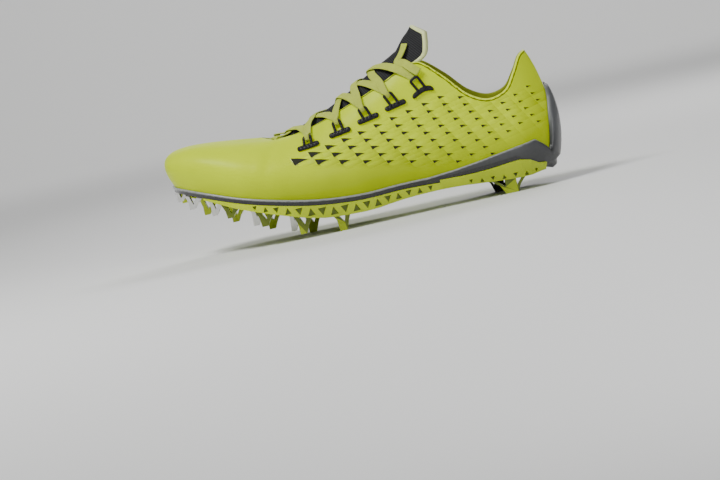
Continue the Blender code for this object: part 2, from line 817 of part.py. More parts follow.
# Tongue: a sheet under the throat. share is that of the upper, crown the rise of its middle over the throat's
# edges and lead how far the middle lies to the toe of them, both as shares of INSTEP_RISE.
TONGUE = [
    # share, crown, lead
    (0.00, 0.000, 0.000),
    (0.10, 0.010, 0.000),
    (0.20, 0.040, 0.010),
    (0.30, 0.075, 0.020),
    (0.40, 0.085, 0.030),
    (0.50, 0.098, 0.050),
    (0.60, 0.122, 0.080),
    (0.68, 0.135, 0.110),
]
# Its free top over the collar: along is a share of UPPER_LENGTH, half of BALL_HALF, height, crown and lead as
# shares of TONGUE_RISE, with height counted from the collar's front corner.
TONGUE_TOP = [
    # along, half, height, crown, lead
    (0.712, 0.47, 0.15, 0.58, 0.52),
    (0.722, 0.49, 0.45, 0.46, 0.44),
    (0.726, 0.47, 0.80, 0.28, 0.34),
]
TONGUE_ROWS = 13
TONGUE_WINGS = (0.80, 0.87, 0.94)
ARCH_STEPS = 6


def tongue_grids():
    outer = []
    inner = []
    end = TONGUE[-1][0]
    shares = [end * (i / TONGUE_ROWS) ** 1.15 for i in range(TONGUE_ROWS + 1)]
    inset = UPPER_WALL + TONGUE_SLACK
    for share in shares:
        sides = []
        for turn in (share, -share):
            row = []
            for level in TONGUE_WINGS + (1.0,):
                normal = upper_normal(turn, level)
                row.append((upper_point(turn, level) - normal * inset, normal))
            sides.append(row)
        crown = column(TONGUE, 1, share) * INSTEP_RISE
        lead = column(TONGUE, 2, share) * INSTEP_RISE
        outer.append(arch_row(sides[0], sides[1], crown, lead))
    corner = top_line(end)
    for along, half, height, crown, lead in TONGUE_TOP:
        place = np.array([TOE_X + along * UPPER_LENGTH, 0.0, corner[2] + height * TONGUE_RISE])
        sides = []
        for side in (-1, 1):
            normal = np.array([-0.35, side * 0.85, 0.35])
            edge = place + np.array([0.0, side * half * BALL_HALF, 0.0])
            sides.append([(edge, normal / np.linalg.norm(normal))] * (len(TONGUE_WINGS) + 1))
        outer.append(arch_row(sides[0], sides[1], crown * TONGUE_RISE, lead * TONGUE_RISE))
    for row in outer:
        inner.append([point - normal * TONGUE_THICK for point, normal in row])
    return [[point for point, _ in row] for row in outer], inner


def arch_place(lateral, medial, crown, lead, part):
    """A point on the tongue's arch and its normal: part is 0 at the lateral edge and 1 at the medial."""
    (start, start_normal), (end, end_normal) = lateral, medial
    front = np.array([-0.45, 0.0, 0.90])
    rise = (4 * part * (1 - part)) ** 1.2
    place = start + (end - start) * part + UP * crown * rise
    place = place - np.array([lead * rise, 0.0, 0.0])
    normal = start_normal * (1 - part) + end_normal * part + front * rise
    return place, normal / np.linalg.norm(normal)


def arch_row(lateral, medial, crown, lead):
    """A row of the tongue: down one wing, over the arch and down the other."""
    arch = [
        arch_place(lateral[-1], medial[-1], crown, lead, j / ARCH_STEPS) for j in range(1, ARCH_STEPS)
    ]
    return lateral + arch + medial[::-1]


def tongue_point(share, part, lift):
    """A point over the tongue's outside, with its normal: a share of the throat, a part of its width."""
    inset = UPPER_WALL + TONGUE_SLACK
    edges = []
    for turn in (share, -share):
        normal = upper_normal(turn, 1.0)
        edges.append((upper_point(turn, 1.0) - normal * inset, normal))
    crown = column(TONGUE, 1, share) * INSTEP_RISE
    lead = column(TONGUE, 2, share) * INSTEP_RISE
    place, normal = arch_place(*edges, crown, lead, part)
    return place + normal * lift, normal


def make_tongue(material):
    outer, inner = tongue_grids()
    wings = len(TONGUE_WINGS)
    cells = set()
    for i in range(len(outer) - 1):
        for j in range(len(outer[0]) - 1):
            under = i < TONGUE_ROWS
            if under or wings <= j < wings + ARCH_STEPS:
                cells.add((i, j))
    return add_object("tongue", slab(outer, inner, cells), material)


# Lace loops: a bar on the upper, with two cords that rise to the lace. along and height place the bar as shares
# of UPPER_LENGTH and INSTEP_RISE; tilt is its rise to the heel and lean that of its cords to the toe, in degrees.
LOOPS = [
    # along, height, tilt, lean, reach
    (0.382, 0.497, 7.0, -3.0, 0.80),
    (0.467, 0.553, 9.0, 5.0, 0.95),
    (0.544, 0.617, 11.0, 18.0, 0.95),
    (0.619, 0.678, 13.0, 22.0, 1.10),
    (0.694, 0.755, 14.0, 24.0, 1.20),
]


def surface_patch(side, along, height):
    """A map from lengths along and up the upper at a place on one side to points on it and its normal."""
    goal = SOLE_HEIGHT + height * INSTEP_RISE
    low = 0.3
    high = 1.0
    for _ in range(24):
        level = (low + high) / 2
        turn = turn_at(side, TOE_X + along * UPPER_LENGTH, level)
        if upper_point(turn, level)[2] < goal:
            low = level
        else:
            high = level
    step = 0.004
    place = upper_point(turn, level)
    by_turn = (upper_point(turn + step, level) - place) / step
    by_level = (place - upper_point(turn, level - step)) / step
    normal = upper_normal(turn, level)
    back = np.array([1.0, 0.0, 0.0])
    back = back - normal * back.dot(normal)
    back /= np.linalg.norm(back)
    climb = np.cross(back, normal) * -side
    climb *= 1.0 if climb[2] > 0 else -1.0
    basis = np.array([by_turn, by_level, normal]).T

    def at(run, rise, lift):
        change = np.linalg.solve(basis, back * run + climb * rise)
        spot_turn = turn + change[0]
        spot_level = min(level + change[1], 1.0)
        out = upper_normal(spot_turn, spot_level)
        return upper_point(spot_turn, spot_level) + out * lift

    return at


def loop_frame(row):
    tilt = math.radians(row[2])
    lean = math.radians(row[3])
    bar = (math.cos(tilt), math.sin(tilt))
    cord = (-math.sin(lean), math.cos(lean))
    return bar, cord


def make_loop(name, side, row, material):
    """A bar with two cords up to the lace and the turn that joins them, all lying on the upper."""
    at = surface_patch(side, row[0], row[1])
    bar, cord = loop_frame(row)
    half = LOOP_SPREAD / 2 + LOOP_CORD / 2
    runs = [-LOOP_LENGTH / 2, -half, -half + LOOP_CORD, half - LOOP_CORD, half, LOOP_LENGTH / 2]
    reach = LOOP_REACH * row[4]
    rises = [-LOOP_BAR / 2, LOOP_BAR / 2, reach * 0.55, reach - LOOP_CORD, reach]
    outer = []
    inner = []
    for rise in rises:
        points = []
        for run in runs:
            end = abs(run) == LOOP_LENGTH / 2
            high = rise if abs(rise) > LOOP_BAR / 2 else rise * (0.6 if end else 1.0)
            x = bar[0] * run + cord[0] * max(high, 0.0)
            y = bar[1] * run + (cord[1] * high if high > 0 else high)
            points.append((x, y))
        outer.append([at(x, y, 2 * GAP + LOOP_THICK) for x, y in points])
        inner.append([at(x, y, 2 * GAP) for x, y in points])
    cells = {(0, j) for j in range(5)} | {(i, j) for i in (1, 2) for j in (1, 3)}
    cells |= {(3, 1), (3, 2), (3, 3)}
    add_object(name, slab(outer, inner, cells), material)


def make_loops(material):
    for k, row in enumerate(LOOPS, 1):
        make_loop(f"lace_loop_lateral_{k}", 1, row, material)
        make_loop(f"lace_loop_medial_{k}", -1, row, material)


# Lace: two flat bands cross over the tongue between each pair of loops and the next. crown is the share of the
# throat at which a crossing passes the tongue's middle. The first crossing starts at the round eyelets.
CROSSINGS = [0.270, 0.384, 0.495, 0.556, 0.608]
LACE_STEPS = 9
BAND_OFFSET = 0.37  # how far one band of each crossing lies over the other, as a share of their thickness


def lace_ends(lift, extra):
    """Places and normals where the lace meets the upper on each side: the round eyelets, then each loop."""
    ends = {1: [], -1: []}
    for side in (1, -1):
        level = EYELET_LEVEL - extra / INSTEP_RISE
        turn = turn_at(side, TOE_X + EYELET_ALONG * UPPER_LENGTH, level)
        normal = upper_normal(turn, level)
        ends[side].append((upper_point(turn, level) + normal * lift, normal))
        for row in LOOPS:
            at = surface_patch(side, row[0], row[1])
            _, cord = loop_frame(row)
            reach = LOOP_REACH * row[4] + LACE_LIFT * 1.5 + extra
            place = at(cord[0] * reach, cord[1] * reach, lift)
            normal = place - at(cord[0] * reach, cord[1] * reach, 0.0)
            ends[side].append((place, normal / np.linalg.norm(normal)))
    return ends


def smooth_path(points, steps, by=None):
    """Evenly stepped points on one smooth curve through a few points, with the way along it at each.

    by holds the places that set the steps, where the points are something else that goes with them.
    """
    points = np.array(points)
    spans = np.linalg.norm(np.diff(points if by is None else by, axis=0), axis=1) ** 0.5
    knots = np.concatenate([[0.0], np.cumsum(spans)])
    ways = np.gradient(points, knots, axis=0)
    path = []
    for value in np.linspace(0.0, knots[-1], steps + 1):
        k = min(int(np.searchsorted(knots, value, side="right")) - 1, len(points) - 2)
        span = knots[k + 1] - knots[k]
        t = (value - knots[k]) / span
        path.append(
            (2 * t**3 - 3 * t**2 + 1) * points[k]
            + (t**3 - 2 * t**2 + t) * span * ways[k]
            + (3 * t**2 - 2 * t**3) * points[k + 1]
            + (t**3 - t**2) * span * ways[k + 1]
        )
    path = np.array(path)
    return path, np.gradient(path, axis=0)


def band_route(near, far, side, crown, lift):
    """Places and normals of a band from one side, over the throat and the tongue, to the other side."""
    middle = tongue_point(crown, 0.5, lift)
    legs = []
    for end, flank in ((near, side), (far, -side)):
        edge_x = end[0][0] + (middle[0][0] - end[0][0]) * 0.30
        turn = turn_at(flank, edge_x, 1.0)
        normal = upper_normal(turn, 1.0)
        edge = (upper_point(turn, 1.0) + normal * lift * 1.2, normal)
        share = (abs(turn) + crown) / 2
        part = 0.27 if flank > 0 else 0.73
        legs.append([end, edge, tongue_point(share, part, lift * 1.4)])
    return legs[0] + [middle] + legs[1][::-1]


def band(route):
    """A flat band along a route of places and normals, as a closed sheet."""
    stops = [place for place, _ in route]
    places, ways = smooth_path(stops, LACE_STEPS)
    normals, _ = smooth_path([normal for _, normal in route], LACE_STEPS, stops)
    outer = []
    inner = []
    for place, way, normal in zip(places, ways, normals):
        wide = np.cross(normal, way)
        wide /= np.linalg.norm(wide)
        normal = np.cross(way, wide)
        normal /= np.linalg.norm(normal)
        edge = wide * LACE_WIDTH / 2
        lower = [place - edge, place + edge]
        inner.append(lower)
        outer.append([point + normal * LACE_THICK for point in lower])
    return slab(outer, inner)


def make_laces(material):
    """The whole lace: ten bands over the tongue, joined where they cross and at each loop."""
    lace = None
    for k, crown in enumerate(CROSSINGS):
        for side, name in ((1, "out"), (-1, "in")):
            lift = LACE_LIFT + (LACE_THICK * BAND_OFFSET if side < 0 else 0.0)
            ends = lace_ends(lift, LACE_THICK * BAND_OFFSET if side < 0 else 0.0)
            form = band(band_route(ends[side][k], ends[-side][k + 1], side, crown, lift))
            if lace is None:
                lace = add_object("lace", form, material)
            else:
                tool = add_object(f"join_lace_{name}_{k + 1}", form, cutter=True)
                apply_boolean(lace, tool, "UNION")
    return lace


# The free end leaves the top loop, crosses the throat's edge and lies up along the tongue. Each point is given on
# the surface that it passes: along and up from the top loop, a share of the top line, a share of the throat and
# a part across the tongue, or shares of TONGUE_RISE from the collar's front corner.
LACE_END_STEPS = 10
LACE_END = [
    # over, first, second, lift
    ("loop", 0.0005, 0.0140, 0.0038),
    ("loop", -0.0030, 0.0185, 0.0036),
    ("edge", 0.669, 0.0, 0.0029),
    ("tongue", 0.662, 0.13, 0.0030),
    ("tongue", 0.678, 0.18, 0.0028),
    ("air", -0.13, 0.43, 0.376),
    ("air", -0.05, 0.58, 0.430),
]


def lace_end_places():
    """The free end's points, with the normal of the surface under each."""
    at = surface_patch(1, LOOPS[-1][0], LOOPS[-1][1])
    corner = top_line(TONGUE[-1][0])
    normal = np.array([-0.5, -0.5, 0.7])
    places = []
    for over, first, second, lift in LACE_END:
        if over == "loop":
            place = at(first, second, lift)
            normal = place - at(first, second, 0.0)
        elif over == "edge":
            normal = upper_normal(first, 1.0)
            place = upper_point(first, 1.0) + normal * lift
        elif over == "tongue":
            place, normal = tongue_point(first, second, lift)
        else:
            place = corner + np.array([first, lift, second]) * TONGUE_RISE
        places.append((place, normal / np.linalg.norm(normal)))
    return places


def make_lace_end(material):
    """The lace's free end as a plain round cord."""
    places, _ = smooth_path([place for place, _ in lace_end_places()], LACE_END_STEPS)
    data = bpy.data.curves.new("lace_end", "CURVE")
    data.dimensions = "3D"
    data.bevel_depth = LACE_END_WIDTH / 2
    data.bevel_resolution = 2
    data.use_fill_caps = True
    spline = data.splines.new("POLY")
    spline.points.add(len(places) - 1)
    for point, place in zip(spline.points, places):
        point.co = (*place, 1.0)
    data.materials.append(material)
    item = bpy.data.objects.new("lace_end", data)
    parts.objects.link(item)


def main():
    clear_scene()
    volt = finish("volt_moulding", (0.62, 0.72, 0.02), 0.42)
    carbon = finish("dark_plate", (0.02, 0.02, 0.022), 0.32)
    lining = finish("insole_foam", (0.05, 0.05, 0.05), 0.85)
    frame_plastic = finish("frame_plastic", (0.62, 0.72, 0.02), 0.35)
    steel = finish("stud_metal", (0.62, 0.63, 0.65), 0.22, 1.0)
    mesh_cloth = finish("tongue_mesh", (0.06, 0.06, 0.065), 0.8)
    cord = finish("loop_cord", (0.015, 0.015, 0.016), 0.6)
    webbing = finish("lace_webbing", (0.72, 0.80, 0.28), 0.8)
    make_upper(volt)
    make_plate(carbon)
    make_insole(lining)
    frame = make_frame(frame_plastic)
    make_pits(frame)
    make_frame_studs(frame)
    make_centre_studs(steel)
    make_heel_pad(carbon)
    make_tongue(mesh_cloth)
    make_loops(cord)
    make_laces(webbing)
    make_lace_end(webbing)


main()
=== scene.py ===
# %% [markdown]
# # A football cleat, dressed on its imported frame
# The imported model gives every piece its place. The first lines load it.

import math

import bmesh
import bpy
import numpy as np
from mathutils import Matrix, Vector


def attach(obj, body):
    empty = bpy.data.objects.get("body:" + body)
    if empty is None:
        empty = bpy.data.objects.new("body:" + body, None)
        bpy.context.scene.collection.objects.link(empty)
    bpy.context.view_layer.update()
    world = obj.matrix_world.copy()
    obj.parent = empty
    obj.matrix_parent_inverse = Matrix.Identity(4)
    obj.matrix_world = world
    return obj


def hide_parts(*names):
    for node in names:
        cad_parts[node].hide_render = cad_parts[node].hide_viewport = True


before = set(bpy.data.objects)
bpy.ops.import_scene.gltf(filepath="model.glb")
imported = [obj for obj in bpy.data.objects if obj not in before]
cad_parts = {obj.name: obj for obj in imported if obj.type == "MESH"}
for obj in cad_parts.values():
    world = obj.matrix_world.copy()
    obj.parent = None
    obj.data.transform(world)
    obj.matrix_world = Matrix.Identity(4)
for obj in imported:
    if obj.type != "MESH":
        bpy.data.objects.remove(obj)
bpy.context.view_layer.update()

# %% [markdown]
# ## The shoe's sizes
# A shoemaker starts from a last: a length, the ball's width, the heel's width and the instep's
# height. The tables below hold the two edges of the upper as shares of those sizes. The sole line
# runs where the upper meets the plate, and the top line runs round the throat and the collar. The
# solids were made from the same tables, so a fine mesh from them fits its neighbours everywhere.

# %% Named sizes
UPPER_LENGTH = 0.2915
BALL_HALF = 0.0870 / 2
HEEL_HALF = 0.0590 / 2
INSTEP_RISE = 0.0885
HEEL_RISE = 0.0800
TOE_SPRING = 0.0338
SOLE_HEIGHT = 0.0218
TOE_X = -0.1485
UPPER_WALL = 0.0020
GAP = 0.0003
PLATE_THICK = 0.0018
RIM_THICK = 0.0013
RIM_RISE = 0.0023
COUNTER_RISE = 0.0175
SPINE_RISE = 0.0560
SPINE_THICK = 0.0050
HEEL_DROP = 0.0048
TONGUE_THICK = 0.0032
TONGUE_SLACK = 0.0017
TONGUE_RISE = 0.0250
EYELET_WIDTH = 0.0046
EYELET_ALONG = 0.297
EYELET_LEVEL = 0.935
LOOP_LENGTH = 0.0170
LOOP_BAR = 0.0040
LOOP_CORD = 0.0021
LOOP_SPREAD = 0.0058
LOOP_REACH = 0.0105
LOOP_THICK = 0.0016
LACE_WIDTH = 0.0064
LACE_THICK = 0.0011
UP = np.array([0.0, 0.0, 1.0])

# %% Tables of the sole line, the top line and the wall between them
# Sole line: where the upper's edge meets the plate. along is a share of UPPER_LENGTH; lateral and
# medial are shares of half the width that of names; the two rises are shares of TOE_SPRING over
# SOLE_HEIGHT.
SOLE_LINE = [
    # share, along, lateral, medial, of, lateral_rise, medial_rise
    (0.00, 0.013, +0.23, 0.23, BALL_HALF, 1.00, 1.00),
    (0.05, 0.026, -0.15, 0.58, BALL_HALF, 0.95, 0.93),
    (0.10, 0.062, -0.41, 0.82, BALL_HALF, 0.84, 0.76),
    (0.15, 0.112, -0.63, 0.94, BALL_HALF, 0.69, 0.57),
    (0.20, 0.166, -0.80, 0.99, BALL_HALF, 0.53, 0.41),
    (0.30, 0.269, -0.97, 0.99, BALL_HALF, 0.285, 0.18),
    (0.40, 0.379, -0.975, 0.77, BALL_HALF, 0.09, 0.03),
    (0.50, 0.489, -0.855, 0.56, BALL_HALF, 0.00, 0.00),
    (0.60, 0.595, -0.735, 0.51, BALL_HALF, 0.02, 0.02),
    (0.70, 0.705, -1.00, 0.87, HEEL_HALF, -0.02, -0.02),
    (0.80, 0.815, -1.00, 0.98, HEEL_HALF, -0.09, -0.09),
    (0.90, 0.925, -0.85, 0.85, HEEL_HALF, -0.13, -0.13),
    (0.95, 0.965, -0.54, 0.54, HEEL_HALF, -0.12, -0.12),
    (1.00, 0.985, 0.00, 0.00, HEEL_HALF, -0.10, -0.10),
]

# Top line: the edge of throat and collar. lateral and medial are shares of BALL_HALF, and both
# heights are shares of the rise that of names.
TOP_LINE = [
    # share, along, lateral, medial, of, lateral_height, medial_height
    (0.00, 0.268, +0.09, 0.09, INSTEP_RISE, 0.642, 0.642),
    (0.05, 0.273, -0.01, 0.18, INSTEP_RISE, 0.636, 0.636),
    (0.10, 0.283, -0.08, 0.24, INSTEP_RISE, 0.624, 0.624),
    (0.15, 0.295, -0.14, 0.29, INSTEP_RISE, 0.616, 0.616),
    (0.20, 0.310, -0.18, 0.32, INSTEP_RISE, 0.612, 0.612),
    (0.30, 0.358, -0.28, 0.39, INSTEP_RISE, 0.626, 0.626),
    (0.40, 0.423, -0.38, 0.45, INSTEP_RISE, 0.679, 0.684),
    (0.50, 0.497, -0.44, 0.48, INSTEP_RISE, 0.766, 0.772),
    (0.60, 0.588, -0.46, 0.48, INSTEP_RISE, 0.879, 0.885),
    (0.65, 0.646, -0.47, 0.48, INSTEP_RISE, 0.962, 0.968),
    (0.70, 0.697, -0.50, 0.51, INSTEP_RISE, 0.997, 1.005),
    (0.75, 0.752, -0.62, 0.62, INSTEP_RISE, 0.840, 0.855),
    (0.80, 0.806, -0.68, 0.67, HEEL_RISE, 0.710, 0.735),
    (0.84, 0.852, -0.68, 0.67, HEEL_RISE, 0.631, 0.655),
    (0.88, 0.898, -0.61, 0.60, HEEL_RISE, 0.675, 0.692),
    (0.92, 0.926, -0.44, 0.43, HEEL_RISE, 0.810, 0.818),
    (0.96, 0.949, -0.21, 0.21, HEEL_RISE, 0.953, 0.955),
    (1.00, 0.967, 0.00, 0.00, HEEL_RISE, 1.000, 1.000),
]

# Wall of the upper between those two lines: a cubic curve whose handles leave the sole line
# (foot_out, foot_up) and the top line (head_out, head_down), as shares of INSTEP_RISE. medial_out
# scales the outward pair inside.
WALL_LINE = [
    # share, foot_out, foot_up, head_out, head_down, medial_out
    (0.00, 0.215, 0.420, 0.640, -0.080, 1.00),
    (0.10, 0.200, 0.420, 0.520, -0.062, 1.00),
    (0.20, 0.180, 0.380, 0.320, -0.015, 1.00),
    (0.30, 0.150, 0.300, 0.200, 0.045, 1.00),
    (0.40, 0.125, 0.275, 0.170, 0.080, 1.15),
    (0.50, 0.105, 0.275, 0.150, 0.105, 1.45),
    (0.60, 0.090, 0.300, 0.130, 0.140, 1.50),
    (0.70, 0.070, 0.320, 0.090, 0.180, 1.30),
    (0.80, 0.050, 0.230, 0.025, 0.180, 1.10),
    (0.90, 0.070, 0.230, 0.055, 0.200, 1.00),
    (1.00, 0.090, 0.275, 0.130, 0.285, 1.00),
]


# %% A smooth loop through a table's rows
def smooth_step(t, start, start_way, end, end_way):
    """A place on a cubic curve between two points, from the way on at each."""
    return (
        (2 * t**3 - 3 * t**2 + 1) * start
        + (t**3 - 2 * t**2 + t) * start_way
        + (3 * t**2 - 2 * t**3) * end
        + (t**3 - t**2) * end_way
    )


def smooth_loop(knots, values):
    """A smooth curve round the shoe through values at knots, from -1 (heel, by the medial side) to 1."""
    knots = np.array(knots, float)
    values = np.array(values, float)
    span = np.roll(knots, -1) - knots
    span[-1] += 2.0
    slope = (np.roll(values, -1, axis=0) - values) / span[:, None]
    back_span = np.roll(span, 1)[:, None]
    back_slope = np.roll(slope, 1, axis=0)
    tangent = (back_slope * span[:, None] + slope * back_span) / (span[:, None] + back_span)

    def at(turn):
        turn = (turn - knots[0]) % 2.0 + knots[0]
        low = int(np.searchsorted(knots, turn, side="right")) - 1
        high = (low + 1) % len(knots)
        t = (turn - knots[low]) / span[low]
        ways = span[low] * tangent[[low, high]]
        return smooth_step(t, values[low], ways[0], values[high], ways[1])

    return at


def both_sides(rows, lateral_of, medial_of):
    """The loop through a table's rows: shares are negative on the medial side, positive on the lateral."""
    turns = []
    values = []
    for row in reversed(rows[:-1]):
        if row[0] > 0:
            turns.append(-row[0])
            values.append(medial_of(row))
    for row in rows:
        turns.append(row[0])
        values.append(lateral_of(row))
    return smooth_loop(turns, values)


def sole_row(column, rise_column):
    return lambda row: (
        TOE_X + row[1] * UPPER_LENGTH,
        row[column] * row[4],
        SOLE_HEIGHT + row[rise_column] * TOE_SPRING,
    )


def top_row(column, height_column):
    return lambda row: (
        TOE_X + row[1] * UPPER_LENGTH,
        row[column] * BALL_HALF,
        SOLE_HEIGHT + row[height_column] * row[4],
    )


def wall_row(medial):
    def handles(row):
        out = row[5] if medial else 1.0
        return (
            row[1] * out * INSTEP_RISE,
            row[2] * INSTEP_RISE,
            row[3] * out * INSTEP_RISE,
            row[4] * INSTEP_RISE,
        )

    return handles


sole_line = both_sides(SOLE_LINE, sole_row(2, 5), sole_row(3, 6))
top_line = both_sides(TOP_LINE, top_row(2, 5), top_row(3, 6))
wall_line = both_sides(WALL_LINE, wall_row(False), wall_row(True))

# %% The outside of the upper as one function
NEAR = 0.004  # a small step of turn or level, to find which way a surface runs
HALVINGS = 24  # of the range in which a level or a station is looked for


def halve(low, high, too_low, times=HALVINGS):
    """The value between low and high where too_low stops being true."""
    for _ in range(times):
        middle = (low + high) / 2
        if too_low(middle):
            low = middle
        else:
            high = middle
    return (low + high) / 2


def flat(vector):
    """The level direction of a vector."""
    level = np.array([vector[0], vector[1], 0.0])
    return level / np.linalg.norm(level)


def outward(turn):
    """The level direction that points away from the shoe at the sole line."""
    run = sole_line(turn + NEAR) - sole_line(turn - NEAR)
    return flat((run[1], -run[0]))


def upper_point(turn, level):
    """A point on the outside of the upper: level 0 at the sole line, 1 at the top line."""
    foot = sole_line(turn)
    head = top_line(turn)
    foot_out, foot_up, head_out, head_down = wall_line(turn)
    first = foot + outward(turn) * foot_out + UP * foot_up
    second = head + flat(foot - head) * head_out - UP * head_down
    t = level
    return (
        (1 - t) ** 3 * foot
        + 3 * t * (1 - t) ** 2 * first
        + 3 * t**2 * (1 - t) * second
        + t**3 * head
    )


def upper_normal(turn, level):
    """The outward normal of the upper at that point."""
    along = upper_point(turn + NEAR, level) - upper_point(turn - NEAR, level)
    low = max(level - NEAR, 0.0)
    high = min(level + NEAR, 1.0)
    climb = upper_point(turn, high) - upper_point(turn, low)
    normal = np.cross(along, climb)
    return normal / np.linalg.norm(normal)


def level_at(turn, rise):
    """The level of the upper that lies so far over its sole line."""
    goal = sole_line(turn)[2] + rise
    return halve(0.0, 0.95, lambda level: upper_point(turn, level)[2] < goal)


def turn_at(side, along, level):
    """The station on one side, 1 lateral or -1 medial, where a level of the upper reaches so far along."""
    return side * halve(0.02, 0.98, lambda share: upper_point(side * share, level)[0] < along)


# %% The counter's rise over the plate's rim
# Counter: the plate's rim. side_rise and back_rise are shares of COUNTER_RISE and SPINE_RISE that add
# to RIM_RISE, and thick is the share of SPINE_THICK that adds to RIM_THICK.
COUNTER = [
    # share, side_rise, back_rise, thick
    (0.00, 0.00, 0.00, 0.00),
    (0.60, 0.00, 0.00, 0.00),
    (0.66, 0.03, 0.00, 0.02),
    (0.72, 0.20, 0.00, 0.04),
    (0.80, 0.55, 0.00, 0.08),
    (0.87, 0.88, 0.00, 0.12),
    (0.915, 1.03, 0.00, 0.18),
    (0.940, 0.66, 0.00, 0.30),
    (0.957, 0.10, 0.06, 0.55),
    (0.975, 0.00, 0.60, 0.90),
    (1.00, 0.00, 1.00, 1.05),
]


def column(rows, index, share):
    """A table's column, read straight between its rows."""
    return float(np.interp(share, [row[0] for row in rows], [row[index] for row in rows]))


def rim_rise(turn):
    share = abs(turn)
    return (
        RIM_RISE
        + column(COUNTER, 1, share) * (COUNTER_RISE - RIM_RISE)
        + column(COUNTER, 2, share) * (SPINE_RISE - RIM_RISE)
    )


def rim_thick(turn):
    return RIM_THICK + column(COUNTER, 3, abs(turn)) * (SPINE_THICK - RIM_THICK)


# %% [markdown]
# ## Helpers for meshes
# Nearly every piece of a shoe is a sheet with a real thickness. One helper joins two grids of points,
# an outer and an inner one, into a closed mesh, and stores the distances along the sheet as a UV map
# for the materials.


# %% New meshes and pieces
def new_mesh(form, name):
    """Keeps a form's points and faces as a mesh, and frees the form."""
    mesh = bpy.data.meshes.new(name)
    form.to_mesh(mesh)
    form.free()
    return mesh


def new_piece(name, mesh, materials, node=None, slot=None):
    """Puts a mesh in the scene, smooth, and lists it with the solid it stands for, to go on the shoe's one
    body at the end.
    """
    for material in materials:
        mesh.materials.append(material)
    item = bpy.data.objects.new(name, mesh)
    bpy.context.scene.collection.objects.link(item)
    for face in mesh.polygons:
        face.use_smooth = True
    finished.append((item, node, slot))
    return item


finished = []


def vertex_places(mesh):
    places = np.empty(len(mesh.vertices) * 3)
    mesh.vertices.foreach_get("co", places)
    return places.reshape(-1, 3)


def store(mesh, name, values):
    """Keeps a value on each point of a mesh, for its material to read."""
    mesh.attributes.new(name, "FLOAT", "POINT").data.foreach_set("value", values)


def nearest(places, line):
    """How far each place is from the nearest point of a line."""
    near = np.full(len(places), 1.0)
    for point in line:
        near = np.minimum(near, ((places - point) ** 2).sum(axis=1))
    return np.sqrt(near)


# %% A closed sheet between two grids
def sheet_mesh(name, outer, inner, wrap=False, cells=None):
    """A closed mesh between two grids, with UV in metres. Material 0 is outside, 1 inside and on edges."""
    rows = len(outer)
    columns = len(outer[0])
    outer = np.array(outer)
    inner = np.array(inner)
    last = rows if wrap else rows - 1
    if cells is None:
        cells = {(i, j) for i in range(last) for j in range(columns - 1)}
    steps = np.linalg.norm(np.diff(outer, axis=1), axis=2)
    rise = np.concatenate([np.zeros((rows, 1)), np.cumsum(steps, axis=1)], axis=1)
    runs = np.linalg.norm(np.diff(outer, axis=0), axis=2).mean(axis=1)
    run = np.concatenate([[0.0], np.cumsum(runs)])
    form = bmesh.new()
    layer = form.loops.layers.uv.new("sheet")
    grid = [
        [[form.verts.new(side[i][j]) for j in range(columns)] for i in range(rows)]
        for side in (outer, inner)
    ]

    def face(corners, sides, material):
        points = [grid[side][i % rows][j] for (i, j), side in zip(corners, sides)]
        made = form.faces.new(points)
        made.material_index = material
        for loop, (i, j) in zip(made.loops, corners):
            along = run[i] if i < rows else run[-1] + runs.mean()
            loop[layer].uv = (along, rise[i % rows][j])

    count = {}
    for i, j in sorted(cells):
        corners = [(i, j), (i + 1, j), (i + 1, j + 1), (i, j + 1)]
        face(corners, (0, 0, 0, 0), 0)
        face(corners[::-1], (1, 1, 1, 1), 1)
        for start, end in zip(corners, corners[1:] + corners[:1]):
            key = frozenset(((start[0] % rows, start[1]), (end[0] % rows, end[1])))
            count.setdefault(key, []).append((start, end))
    for found in count.values():
        if len(found) == 1:
            start, end = found[0]
            face([end, start, start, end], (0, 0, 1, 1), 1)
    loose = [point for point in form.verts if not point.link_faces]
    bmesh.ops.delete(form, geom=loose, context="VERTS")
    bmesh.ops.remove_doubles(form, verts=form.verts[:], dist=0.000001)
    bmesh.ops.recalc_face_normals(form, faces=form.faces[:])
    return new_mesh(form, name)


# %% [markdown]
# ## Shader maths as plain expressions
# A material's pattern is easier to read as a formula than as a picture of wires. The small class
# below wraps a socket, so that `1 - mask` or `a * b` adds the Math nodes by itself.


# %% A small language for node trees
class Wire:
    """A socket that can be added, multiplied and so on."""

    def __init__(self, tree, socket):
        self.tree = tree
        self.socket = socket

    def math(self, operation, *values):
        return self.tree.node("ShaderNodeMath", {"operation": operation}, [self, *values])

    def __add__(self, other):
        return self.math("ADD", other)

    __radd__ = __add__

    def __sub__(self, other):
        return self.math("SUBTRACT", other)

    def __rsub__(self, other):
        return self.tree.node("ShaderNodeMath", {"operation": "SUBTRACT"}, [other, self])

    def __mul__(self, other):
        return self.math("MULTIPLY", other)

    __rmul__ = __mul__

    def __truediv__(self, other):
        return self.math("DIVIDE", other)

    def abs(self):
        return self.math("ABSOLUTE")

    def fract(self):
        return self.math("FRACT")

    def low(self, other):
        return self.math("MINIMUM", other)

    def high(self, other):
        return self.math("MAXIMUM", other)

    def sine(self):
        return self.math("SINE")

    def step(self, start, end):
        """0 before start, 1 after end, and smooth between them."""
        values = {"Value": self, "From Min": start, "From Max": end}
        settings = {"interpolation_type": "SMOOTHSTEP", "clamp": True}
        return self.tree.node("ShaderNodeMapRange", settings, values)

    def other(self, name):
        """Another output of the same node."""
        return Wire(self.tree, self.socket.node.outputs[name])


